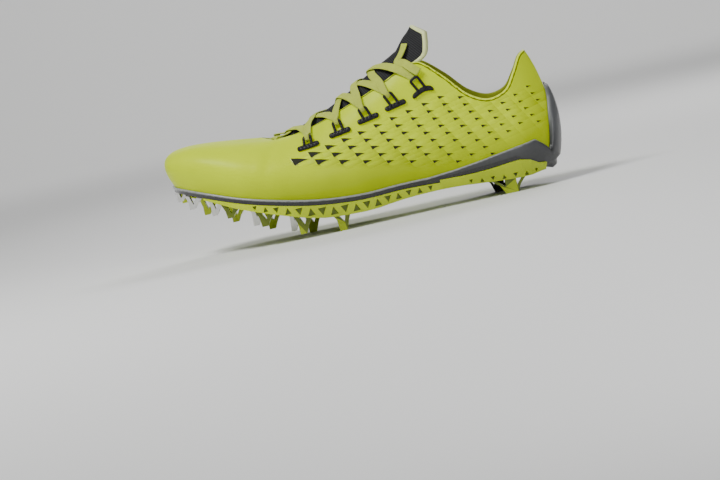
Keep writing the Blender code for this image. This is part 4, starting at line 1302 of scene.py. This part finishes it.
def frame_edge():
    """Places along both sides of the frame, with the way out at each."""
    places = []
    outs = []
    for share in np.linspace(0.05, 0.95, 180):
        for turn in (share, -share):
            places.append(sole_line(turn) + outward(turn) * (GAP + RIM_THICK))
            outs.append(outward(turn))
    return np.array(places), np.array(outs)


def dressed_frame():
    """A copy of the frame's solid with rounded edges, and painted shade inside its triangular pits."""
    side_places, side_outs = frame_edge()
    mesh = bpy.data.objects["outsole_frame"].data.copy()
    mesh.materials.clear()
    finishes = [frame_finish(), pit_shade_finish()]
    piece = new_piece("moulded_frame", mesh, finishes, "outsole_frame", "frame_plastic")
    for face in mesh.polygons:
        middle = np.array(face.center)
        normal = np.array(face.normal)
        face.material_index = 0
        if abs(normal[2]) < 0.35 and face.area < PIT_FACE:
            near = int(np.argmin(((side_places - middle)[:, :2] ** 2).sum(axis=1)))
            out = side_outs[near]
            if (middle - side_places[near]).dot(out) < -PIT_INSET and normal.dot(out) > 0.6:
                face.material_index = 1
    round_edges(piece, 0.0003)
    settle(piece)
    for face in piece.data.polygons:
        face.use_smooth = True
    piece.data.set_sharp_from_angle(angle=math.radians(40))
    return piece


LOOSE_STUDS = ("stud_toe_1", "stud_toe_2", "stud_centre_1", "stud_centre_2", "stud_centre_3")
moulded_frame = dressed_frame()
bright_metal = metal_finish()
for node in LOOSE_STUDS:
    dress_solid(node, bright_metal, 0.00045)
dress_solid("heel_pad_medial", black_finish, 0.00045)
dress_solid("insole", foam_finish(), 0.0006)
print("loose studs", len(LOOSE_STUDS), "and", len(moulded_frame.data.polygons), "faces of the frame")

# %% [markdown]
# ## The tongue
# The tongue is a padded mesh with fine ribs across it. It lies under the throat's edges and stands
# free over the collar, where a pale piping runs along its edge.

# %% The tongue's tables and its surface
# Tongue: a sheet under the throat. share is that of the upper, crown the rise of its middle over the
# throat's edges and lead how far the middle lies to the toe of them, both as shares of INSTEP_RISE.
TONGUE = [
    # share, crown, lead
    (0.00, 0.000, 0.000),
    (0.10, 0.010, 0.000),
    (0.20, 0.040, 0.010),
    (0.30, 0.075, 0.020),
    (0.40, 0.085, 0.030),
    (0.50, 0.098, 0.050),
    (0.60, 0.122, 0.080),
    (0.68, 0.135, 0.110),
]
# Its free top over the collar: along is a share of UPPER_LENGTH, half of BALL_HALF, height, crown and
# lead as shares of TONGUE_RISE, with height counted from the collar's front corner.
TONGUE_TOP = [
    # along, half, height, crown, lead
    (0.712, 0.47, 0.15, 0.58, 0.52),
    (0.722, 0.49, 0.45, 0.46, 0.44),
    (0.726, 0.47, 0.80, 0.28, 0.34),
]
TONGUE_WINGS = (0.80, 0.85, 0.90, 0.95)  # levels of the upper that its hidden sides lie under


def arch_place(lateral, medial, crown, lead, part):
    """A point on the tongue's arch and its normal: part is 0 at the lateral edge and 1 at the medial."""
    (start, start_normal), (end, end_normal) = lateral, medial
    front = np.array([-0.45, 0.0, 0.90])
    rise = (4 * part * (1 - part)) ** 1.2
    place = start + (end - start) * part + UP * crown * rise
    place = place - np.array([lead * rise, 0.0, 0.0])
    normal = start_normal * (1 - part) + end_normal * part + front * rise
    return place, normal / np.linalg.norm(normal)


TONGUE_INSET = UPPER_WALL + TONGUE_SLACK  # of the tongue's outside from the upper's


def under_upper(turn, level):
    """A place on the tongue's outside under the upper, with the upper's normal there."""
    normal = upper_normal(turn, level)
    return upper_point(turn, level) - normal * TONGUE_INSET, normal


def tongue_edges(share):
    """Both edges of the tongue under the throat, and the rise and lead of its middle."""
    crown = column(TONGUE, 1, share) * INSTEP_RISE
    lead = column(TONGUE, 2, share) * INSTEP_RISE
    return under_upper(share, 1.0), under_upper(-share, 1.0), crown, lead


def tongue_point(share, part, lift):
    """A point over the tongue's outside, with its normal: a share of the throat, a part of its width."""
    place, normal = arch_place(*tongue_edges(share), part)
    return place + normal * lift, normal


TONGUE_FINE = 84  # rows under the throat
TOP_FINE = 40  # rows on its free top
ARCH_FINE = 40  # columns across it


def tongue_frame(v, part):
    """A place and normal on the tongue: v up to 1 under the throat, and up to 2 on its free top."""
    end = TONGUE[-1][0]
    if v <= 1:
        return tongue_point(end * v, part, 0.0)
    corner = top_line(end)
    rows = [tongue_edges(end)] + [top_edges(row, corner) for row in TONGUE_TOP]
    spot = (v - 1) * (len(rows) - 1)
    places = [arch_place(*row, part) for row in rows]
    path = np.array([place for place, _ in places])
    normals = np.array([normal for _, normal in places])
    ways = np.gradient(path, axis=0)
    k = min(int(spot), len(rows) - 2)
    t = spot - k
    place = smooth_step(t, path[k], ways[k], path[k + 1], ways[k + 1])
    normal = normals[k] * (1 - t) + normals[k + 1] * t
    return place, normal / np.linalg.norm(normal)


def top_edges(row, corner):
    along, half, height, crown, lead = row
    place = np.array([TOE_X + along * UPPER_LENGTH, 0.0, corner[2] + height * TONGUE_RISE])
    edges = []
    for side in (-1, 1):
        normal = np.array([-0.35, side * 0.85, 0.35])
        edge = place + np.array([0.0, side * half * BALL_HALF, 0.0])
        edges.append((edge, normal / np.linalg.norm(normal)))
    return edges[0], edges[1], crown * TONGUE_RISE, lead * TONGUE_RISE


def make_tongue():
    """The padded sheet: its free edges are rounded over, and its thickness swells a little between them."""
    rows = [i / TONGUE_FINE for i in range(1, TONGUE_FINE + 1)]
    rows += [1 + i / TOP_FINE for i in range(1, TOP_FINE + 1)]
    wings = len(TONGUE_WINGS)
    outer = []
    inner = []
    for v in rows:
        left = (2 - v) * TOP_FINE
        thin = 0.5 + 0.5 * min(1.0, left / 3) ** 0.5
        arch = [tongue_frame(v, j / ARCH_FINE) for j in range(ARCH_FINE + 1)]
        if v > 1:
            line = arch[:1] * wings + arch + arch[-1:] * wings
        else:
            share = TONGUE[-1][0] * v
            lateral_wing = [under_upper(share, level) for level in TONGUE_WINGS]
            medial_wing = [under_upper(-share, level) for level in TONGUE_WINGS[::-1]]
            line = lateral_wing + arch + medial_wing
        outer.append([place - normal * TONGUE_THICK * (1 - thin) * 0.5 for place, normal in line])
        inner.append([place - normal * TONGUE_THICK * (1 + thin) * 0.5 for place, normal in line])
    cells = set()
    for i in range(len(rows) - 1):
        for j in range(len(outer[0]) - 1):
            if rows[i + 1] <= 1 or wings <= j < wings + ARCH_FINE:
                cells.add((i, j))
    return sheet_mesh("tongue_mesh", outer, inner, cells=cells)


def mesh_finish():
    """Black ribbed mesh: fine ribs across the tongue with threads between them."""
    made = Finish("tongue_mesh_finish", Roughness=0.75, Specular_IOR_Level=0.25)
    u, v, _ = made.parts(made.sheet())
    rib = ((u * 1 / 0.0016).fract() - 0.5).abs() * 2
    thread = ((v * 1 / 0.0009).fract() - 0.5).abs() * 2
    wear = made.noise(made.place(), 60.0, 3.0)
    height = rib * (0.6 + thread * 0.4)
    colour = made.mix(height * 0.8 + wear * 0.3, (0.004, 0.004, 0.005), (0.040, 0.041, 0.043))
    return made.set(Base_Color=colour, Normal=made.bump(height, 0.00035))


def piping_finish():
    made = Finish("pale_piping", Roughness=0.6)
    place = made.place()
    fine = made.noise(place, 900.0, 3.0)
    colour = made.mix(fine, (0.80, 0.85, 0.42), (0.66, 0.72, 0.28))
    return made.set(Base_Color=colour, Normal=made.bump(fine, 0.0001))


TUBE_SIDES = 10


def tube_mesh(name, points, radius, normals=None):
    """A round tube along a path, with UV along it and round it, in metres."""
    points = np.array(points)
    ways = np.gradient(points, axis=0)
    ways /= np.linalg.norm(ways, axis=1)[:, None]
    form = bmesh.new()
    layer = form.loops.layers.uv.new("sheet")
    guide = normals[0] if normals is not None else np.array([0.0, 0.0, 1.0])
    rings = []
    run = np.concatenate([[0.0], np.cumsum(np.linalg.norm(np.diff(points, axis=0), axis=1))])
    for i in range(len(points)):
        if normals is not None:
            guide = normals[i]
        first = guide - ways[i] * ways[i].dot(guide)
        first /= np.linalg.norm(first)
        guide = first
        second = np.cross(ways[i], first)
        ring = []
        for k in range(TUBE_SIDES):
            angle = 2 * math.pi * k / TUBE_SIDES
            offset = first * math.cos(angle) * radius + second * math.sin(angle) * radius
            ring.append(form.verts.new(points[i] + offset))
        rings.append(ring)
    for i in range(len(points) - 1):
        for k in range(TUBE_SIDES):
            n = (k + 1) % TUBE_SIDES
            made = form.faces.new([rings[i][k], rings[i][n], rings[i + 1][n], rings[i + 1][k]])
            ends = ((i, k), (i, k + 1), (i + 1, k + 1), (i + 1, k))
            for loop, (a, b) in zip(made.loops, ends):
                loop[layer].uv = (run[a], b / TUBE_SIDES * 2 * math.pi * 0.001)
    form.faces.new(rings[0][::-1])
    form.faces.new(rings[-1])
    bmesh.ops.recalc_face_normals(form, faces=form.faces[:])
    return new_mesh(form, name)


PIPING_START = 1.04  # as the row of the tongue, where its free top begins at 1
PIPING_TOP = 1.985
PIPING_RADIUS = 0.0017


def tongue_piping():
    """The piping's path: up one edge of the tongue's free top, over it and down the other."""
    path = []
    spots = [(v, 0.0) for v in np.linspace(PIPING_START, PIPING_TOP, 30)]
    spots += [(PIPING_TOP, part) for part in np.linspace(0.02, 0.98, 48)]
    spots += [(v, 1.0) for v in np.linspace(PIPING_TOP, PIPING_START, 30)]
    for v, part in spots:
        place, normal = tongue_frame(float(v), float(part))
        path.append(place - normal * TONGUE_THICK * 0.5)
    return path


tongue_sheet = make_tongue()
black_mesh = mesh_finish()
tongue_piece = new_piece("tongue_mesh", tongue_sheet, [black_mesh, black_mesh], "tongue", "tongue_mesh")
pale = piping_finish()
piping_mesh = tube_mesh("tongue_piping", tongue_piping(), PIPING_RADIUS)
new_piece("tongue_piping", piping_mesh, [pale], None, "tongue_mesh")
print("tongue", len(tongue_sheet.polygons), "faces")

# %% [markdown]
# ## Lace loops
# Each loop is a short bar sewn to the upper, with two cords that rise to the lace and turn round it.
# The bar is a flattened capsule. The cords lie on the upper, and lift off it where the lace passes
# under their turn.

# %% The loops' table and the patch of upper round each
# Lace loops: a bar on the upper, with two cords that rise to the lace. along and height place the bar
# as shares of UPPER_LENGTH and INSTEP_RISE; tilt is its rise to the heel and lean that of its cords
# to the toe, in degrees.
LOOPS = [
    # along, height, tilt, lean, reach
    (0.382, 0.497, 7.0, -3.0, 0.80),
    (0.467, 0.553, 9.0, 5.0, 0.95),
    (0.544, 0.617, 11.0, 18.0, 0.95),
    (0.619, 0.678, 13.0, 22.0, 1.10),
    (0.694, 0.755, 14.0, 24.0, 1.20),
]


def surface_patch(side, along, height):
    """A map from lengths along and up the upper at a place on one side to points on it and its normal."""
    goal = SOLE_HEIGHT + height * INSTEP_RISE
    x = TOE_X + along * UPPER_LENGTH

    def too_low(level):
        return upper_point(turn_at(side, x, level), level)[2] < goal

    level = halve(0.3, 1.0, too_low, HALVINGS - 1)
    turn = turn_at(side, x, level)
    place = upper_point(turn, level)
    by_turn = (upper_point(turn + NEAR, level) - place) / NEAR
    by_level = (place - upper_point(turn, level - NEAR)) / NEAR
    normal = upper_normal(turn, level)
    back = np.array([1.0, 0.0, 0.0])
    back = back - normal * back.dot(normal)
    back /= np.linalg.norm(back)
    climb = np.cross(back, normal) * -side
    climb *= 1.0 if climb[2] > 0 else -1.0
    basis = np.array([by_turn, by_level, normal]).T

    def at(run, rise, lift):
        change = np.linalg.solve(basis, back * run + climb * rise)
        spot_turn = turn + change[0]
        spot_level = min(level + change[1], 1.0)
        out = upper_normal(spot_turn, spot_level)
        return upper_point(spot_turn, spot_level) + out * lift

    return at


def loop_frame(row):
    tilt = math.radians(row[2])
    lean = math.radians(row[3])
    bar = (math.cos(tilt), math.sin(tilt))
    cord = (-math.sin(lean), math.cos(lean))
    return bar, cord


def loop_finish():
    made = Finish("loop_cord_finish", Roughness=0.4, Specular_IOR_Level=0.22)
    u, v, _ = made.parts(made.sheet())
    one_way = ((u * 1200.0 + v * 900.0) * 2.0).sine() * 0.5
    other_way = ((u * 1200.0 - v * 900.0) * 2.0).sine() * 0.5
    braid = one_way + other_way
    colour = made.mix(braid.abs(), (0.014, 0.014, 0.015), (0.004, 0.004, 0.005))
    return made.set(Base_Color=colour, Normal=made.bump(braid, 0.00012))


TURN_LIFT = 0.0016  # how far the loop's turn stands off the upper, for the lace
TURN_RISE = 0.0012  # how far the turn goes past the ends of the cords
BAR_RUNS = 24  # steps along a bar
BAR_ROWS = 12  # steps across it


def cord_path(at, row):
    """Up one cord, round the turn and down the other, with the lift over the upper growing to the turn."""
    bar, cord = loop_frame(row)
    half = LOOP_SPREAD / 2
    reach = LOOP_REACH * row[4]
    radius = LOOP_CORD / 2
    path = []
    normals = []
    straight = np.linspace(0.0, 1.0, 12)
    top = reach - radius - TURN_RISE
    spots = [(-half, top * t) for t in straight]
    for angle in np.linspace(math.pi, 0, 9)[1:-1]:
        spots.append((math.cos(angle) * half, top + math.sin(angle) * TURN_RISE))
    spots += [(half, top * t) for t in straight[::-1]]
    for x, y in spots:
        lift = 2 * GAP + radius + TURN_LIFT * max(0.0, (y / top - 0.35) / 0.65) ** 1.5
        run = bar[0] * x + cord[0] * y
        rise = bar[1] * x + cord[1] * y
        place = at(run, rise, lift)
        path.append(place)
        normals.append(place - at(run, rise, 0.0))
    return path, normals


def bar_mesh(name, at, row):
    """The capsule bar, as a low dome on the upper."""
    bar, _ = loop_frame(row)
    radius = LOOP_BAR / 2
    straight = LOOP_LENGTH / 2 - radius
    outer = []
    inner = []
    for i in range(BAR_RUNS + 1):
        x = (straight + radius) * math.sin(math.pi * (i / BAR_RUNS - 0.5))
        over = max(0.0, abs(x) - straight)
        wide = math.sqrt(max(radius**2 - over**2, 0.0000001))
        tops = []
        lows = []
        for j in range(BAR_ROWS + 1):
            y = wide * math.sin(math.pi * (j / BAR_ROWS - 0.5))
            edge = 1 - (abs(y) / wide) ** 4
            end = 1 - (over / radius) ** 4
            rise = 2 * GAP + LOOP_THICK * (0.25 + 0.75 * max(edge * end, 0.0) ** 0.5)
            run, climb = bar[0] * x - bar[1] * y, bar[1] * x + bar[0] * y
            tops.append(at(run, climb, rise))
            lows.append(at(run, climb, 2 * GAP))
        outer.append(tops)
        inner.append(lows)
    return sheet_mesh(name, outer, inner)


cord_black = loop_finish()
patches = {1: [], -1: []}
for side, word in ((1, "lateral"), (-1, "medial")):
    for k, row in enumerate(LOOPS, 1):
        at = surface_patch(side, row[0], row[1])
        patches[side].append(at)
        node = f"lace_loop_{word}_{k}"
        path, normals = cord_path(at, row)
        cord_mesh = tube_mesh(f"cord_{word}_{k}", path, LOOP_CORD / 2, normals)
        new_piece(f"loop_cord_{word}_{k}", cord_mesh, [cord_black], node, "loop_cord")
        base = bar_mesh(f"bar_{word}_{k}", at, row)
        new_piece(f"loop_bar_{word}_{k}", base, [cord_black, cord_black], node, "loop_cord")
print("loops", 2 * len(LOOPS))

# %% [markdown]
# ## The lace
# Two flat woven ribbons start at the round eyelets and zigzag up the throat. At each loop a ribbon
# dips under the loop's turn, folds back over it and sets off across the tongue to the next loop on
# the other side. One ribbon lies over the other wherever they cross.

# %% The ribbons' routes
CROWNS = [0.270, 0.384, 0.495, 0.556, 0.608]  # where each crossing's middle lies, as shares of the throat
LACE_LIFT = 0.0009  # between a ribbon and what it runs over


def smooth_path(points, steps, by=None):
    """Evenly stepped points on one smooth curve through a few points.

    by holds the places that set the steps, where the points are something else that goes with them.
    """
    points = np.array(points)
    spans = np.linalg.norm(np.diff(points if by is None else by, axis=0), axis=1) ** 0.5
    knots = np.concatenate([[0.0], np.cumsum(spans)])
    ways = np.gradient(points, knots, axis=0)
    path = []
    for value in np.linspace(0.0, knots[-1], steps + 1):
        k = min(int(np.searchsorted(knots, value, side="right")) - 1, len(points) - 2)
        span = knots[k + 1] - knots[k]
        t = (value - knots[k]) / span
        path.append(smooth_step(t, points[k], span * ways[k], points[k + 1], span * ways[k + 1]))
    return np.array(path)


def unit(vector):
    return vector / np.linalg.norm(vector)


def edge_spot(near, middle, flank, lift):
    """Where a ribbon crosses the throat's edge on its way to the tongue."""
    edge_x = near[0] + (middle[0] - near[0]) * 0.30
    turn = turn_at(flank, edge_x, 1.0)
    normal = upper_normal(turn, 1.0)
    return turn, upper_point(turn, 1.0) + normal * lift, normal


def loop_spot(side, k, past, lift):
    """A place near a loop's turn: past counts inward from the turn's outer edge, down its cords."""
    row = LOOPS[k]
    at = patches[side][k]
    _, cord = loop_frame(row)
    reach = LOOP_REACH * row[4] - past
    place = at(cord[0] * reach, cord[1] * reach, lift)
    return place, unit(at(cord[0] * reach, cord[1] * reach, lift + 0.001) - place)


def eyelet_spot(side, lift, level=EYELET_LEVEL):
    turn = turn_at(side, TOE_X + EYELET_ALONG * UPPER_LENGTH, level)
    normal = upper_normal(turn, level)
    return upper_point(turn, level) + normal * lift, normal


# Where a ribbon passes a loop: how far in from the turn's outer edge, and how far over the upper.
COMING = (-0.0030, 0.0008)
UNDER_TURN = (0.0010, 0.0009)
FOLD = (0.0034, 0.0027)
OVER_TURN = (0.0010, 0.0050)
LEAVING = (-0.0030, 0.0030)
TUCKED_END = (0.0030, 0.0009)
FLANK = 0.27  # part of the tongue's width where a ribbon comes onto it, from either edge
EDGE_LIFT = 0.0004  # more lift where it goes over an edge


def ribbon_route(first_side, over):
    """Places, normals and widths of one ribbon, from a round eyelet up to the last loop."""
    route = []

    def add(place, normal, wide=1.0):
        route.append((place, unit(normal), wide))

    side = first_side
    place, normal = eyelet_spot(side, -0.0034)
    add(place, np.cross(normal, np.array([0.0, -side, 0.0])) * 1.0 + normal * 0.2, 0.55)
    place, normal = eyelet_spot(side, 0.0002)
    add(place, normal + np.array([0.0, side, 0.0]) * 0.4, 0.6)
    for k, crown in enumerate(CROWNS):
        lift = LACE_LIFT + over
        middle, middle_normal = tongue_point(crown, 0.5, lift)
        if k == 0:
            near, near_normal = eyelet_spot(side, lift, 1.0)
            add(near, near_normal, 0.85)
        else:
            near, near_normal = loop_spot(side, k - 1, *LEAVING)
            add(near, near_normal, 0.85)
            turn, place, normal = edge_spot(near, middle, side, lift + EDGE_LIFT)
            add(place, normal)
        turn = turn_at(side, near[0] + (middle[0] - near[0]) * 0.5, 1.0)
        part = FLANK if side > 0 else 1 - FLANK
        place, normal = tongue_point((abs(turn) + crown) / 2, part, lift + EDGE_LIFT)
        add(place, normal)
        add(middle, middle_normal)
        far, far_normal = loop_spot(-side, k, *COMING)
        turn, place, normal = edge_spot(far, middle, -side, lift + EDGE_LIFT / 2)
        part = FLANK if side < 0 else 1 - FLANK
        share = (abs(turn) + crown) / 2
        inside, inside_normal = tongue_point(share, part, lift + EDGE_LIFT)
        add(inside, inside_normal)
        add(place, normal)
        add(far, far_normal, 0.85)
        under, under_normal = loop_spot(-side, k, *UNDER_TURN)
        add(under, under_normal, 0.60)
        way = unit(under - far)
        fold, _ = loop_spot(-side, k, *FOLD)
        if k + 1 < len(CROWNS):
            add(fold, way, 0.55)
            back, back_normal = loop_spot(-side, k, *OVER_TURN)
            add(back, -back_normal, 0.60)
        else:
            low, low_normal = loop_spot(-side, k, *TUCKED_END)
            add(low, low_normal, 0.50)
        side = -side
    return route


def ribbon_mesh(name, route, width=LACE_WIDTH, thick=LACE_THICK, density=7):
    """A flat woven ribbon along a route of places and normals, with rounded edges."""
    steps = (len(route) - 1) * density
    stops = [place for place, _, _ in route]
    points = smooth_path(stops, steps)
    guides = smooth_path([normal for _, normal, _ in route], steps, stops)
    widths = smooth_path([[wide] for _, _, wide in route], steps, stops)
    ways = np.gradient(points, axis=0)
    form = bmesh.new()
    layer = form.loops.layers.uv.new("sheet")
    run = np.concatenate([[0.0], np.cumsum(np.linalg.norm(np.diff(points, axis=0), axis=1))])
    profile = []
    for x in (-1.0, -0.96, -0.84, -0.5, 0.0, 0.5, 0.84, 0.96, 1.0):
        profile.append((x, 0.5 * (1 - abs(x) ** 8) ** 0.5))
    section = profile + [(x, -y) for x, y in profile[-2:0:-1]]
    rings = []
    flip = None
    for i, point in enumerate(points):
        way = unit(ways[i])
        wide = unit(np.cross(guides[i], way))
        if flip is not None and wide.dot(flip) < 0:
            wide = -wide
        flip = wide
        up = unit(np.cross(way, wide))
        size = widths[i][0]
        fat = thick * (1 + (1 - size) * 0.8)
        ring = [point + wide * x * width / 2 * size + up * y * fat for x, y in section]
        rings.append([form.verts.new(place) for place in ring])
    sides = len(section)
    for i in range(len(rings) - 1):
        for k in range(sides):
            n = (k + 1) % sides
            face = form.faces.new([rings[i][k], rings[i][n], rings[i + 1][n], rings[i + 1][k]])
            for loop, (a, b) in zip(face.loops, ((i, k), (i, n), (i + 1, n), (i + 1, k))):
                loop[layer].uv = (run[a], section[b][0] * width / 2)
    form.faces.new(rings[0][::-1])
    form.faces.new(rings[-1])
    bmesh.ops.recalc_face_normals(form, faces=form.faces[:])
    return new_mesh(form, name), points


def webbing_finish():
    """Pale woven ribbon: a chevron of threads with a firmer edge."""
    made = Finish("lace_webbing_finish", Roughness=0.7)
    u, v, _ = made.parts(made.sheet())
    side = v.abs()
    thread = (((u + side * 0.9) * 1 / 0.0011).fract() - 0.5).abs() * 2
    fine = ((v * 1 / 0.0007).fract() - 0.5).abs() * 2
    wear = made.noise(made.place(), 120.0, 3.0)
    height = thread * 0.7 + fine * 0.3
    edge = side.step(0.0026, 0.0031)
    colour = made.mix(height * 0.5 + wear * 0.3, (0.30, 0.37, 0.015), (0.74, 0.84, 0.12))
    colour = made.mix(edge * 0.4, colour, (0.46, 0.54, 0.06))
    return made.set(Base_Color=colour, Normal=made.bump(height, 0.00025))


webbing = webbing_finish()
SECOND_OVER = 0.0013  # how far the second ribbon lies over the first
for side, word, over in ((1, "first", 0.0), (-1, "second", SECOND_OVER)):
    ribbon, _ = ribbon_mesh(f"lace_{word}", ribbon_route(side, over))
    new_piece(f"lace_{word}", ribbon, [webbing], "lace", "lace_webbing")
    print("ribbon", word, len(ribbon.polygons), "faces")

# %% [markdown]
# ## The lace's free end
# One end comes out under the top crossing and lies up along the tongue. It is the only part of the
# lace that hangs free, and its length is measured and printed.

# %% The free end
# The free end leaves the top loop, crosses the throat's edge and lies up along the tongue. Each point
# is given on the surface that it passes: along and up from the top loop, a share of the top line, a
# share of the throat and a part across the tongue, or shares of TONGUE_RISE from the collar's front
# corner.
LACE_END = [
    # over, first, second, lift
    ("loop", 0.0005, 0.0140, 0.0038),
    ("loop", -0.0030, 0.0185, 0.0036),
    ("edge", 0.669, 0.0, 0.0029),
    ("tongue", 0.662, 0.13, 0.0030),
    ("tongue", 0.678, 0.18, 0.0028),
    ("air", -0.13, 0.43, 0.376),
    ("air", -0.05, 0.58, 0.430),
]


def lace_end_places():
    """The free end's points, with the normal of the surface under each."""
    at = surface_patch(1, LOOPS[-1][0], LOOPS[-1][1])
    corner = top_line(TONGUE[-1][0])
    normal = np.array([-0.5, -0.5, 0.7])
    places = []
    for over, first, second, lift in LACE_END:
        if over == "loop":
            place = at(first, second, lift)
            normal = place - at(first, second, 0.0)
        elif over == "edge":
            normal = upper_normal(first, 1.0)
            place = upper_point(first, 1.0) + normal * lift
        elif over == "tongue":
            place, normal = tongue_point(first, second, lift)
        else:
            place = corner + np.array([first, lift, second]) * TONGUE_RISE
        places.append((place, normal / np.linalg.norm(normal)))
    return places


end_route = [(place, normal, 1.0) for place, normal in lace_end_places()]
end_mesh, end_points = ribbon_mesh("lace_end_ribbon", end_route, LACE_WIDTH, LACE_THICK, 5)
end_piece = new_piece("lace_end_ribbon", end_mesh, [webbing], "lace_end", "lace_webbing")
end_length = float(np.linalg.norm(np.diff(end_points, axis=0), axis=1).sum())
tuple(float(value) for value in end_points[0])
[tuple(float(value) for value in point) for point in end_points]
print("free end", round(end_length, 4), "m")

# %% [markdown]
# ## The pieces on the body
# Every piece rides on the shoe's one body, and the solid that it stands for, if any, is hidden.

# %% Ride, replace and finish
for item, node, slot in finished:
    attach(item, "root")
    if node:
        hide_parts(node)
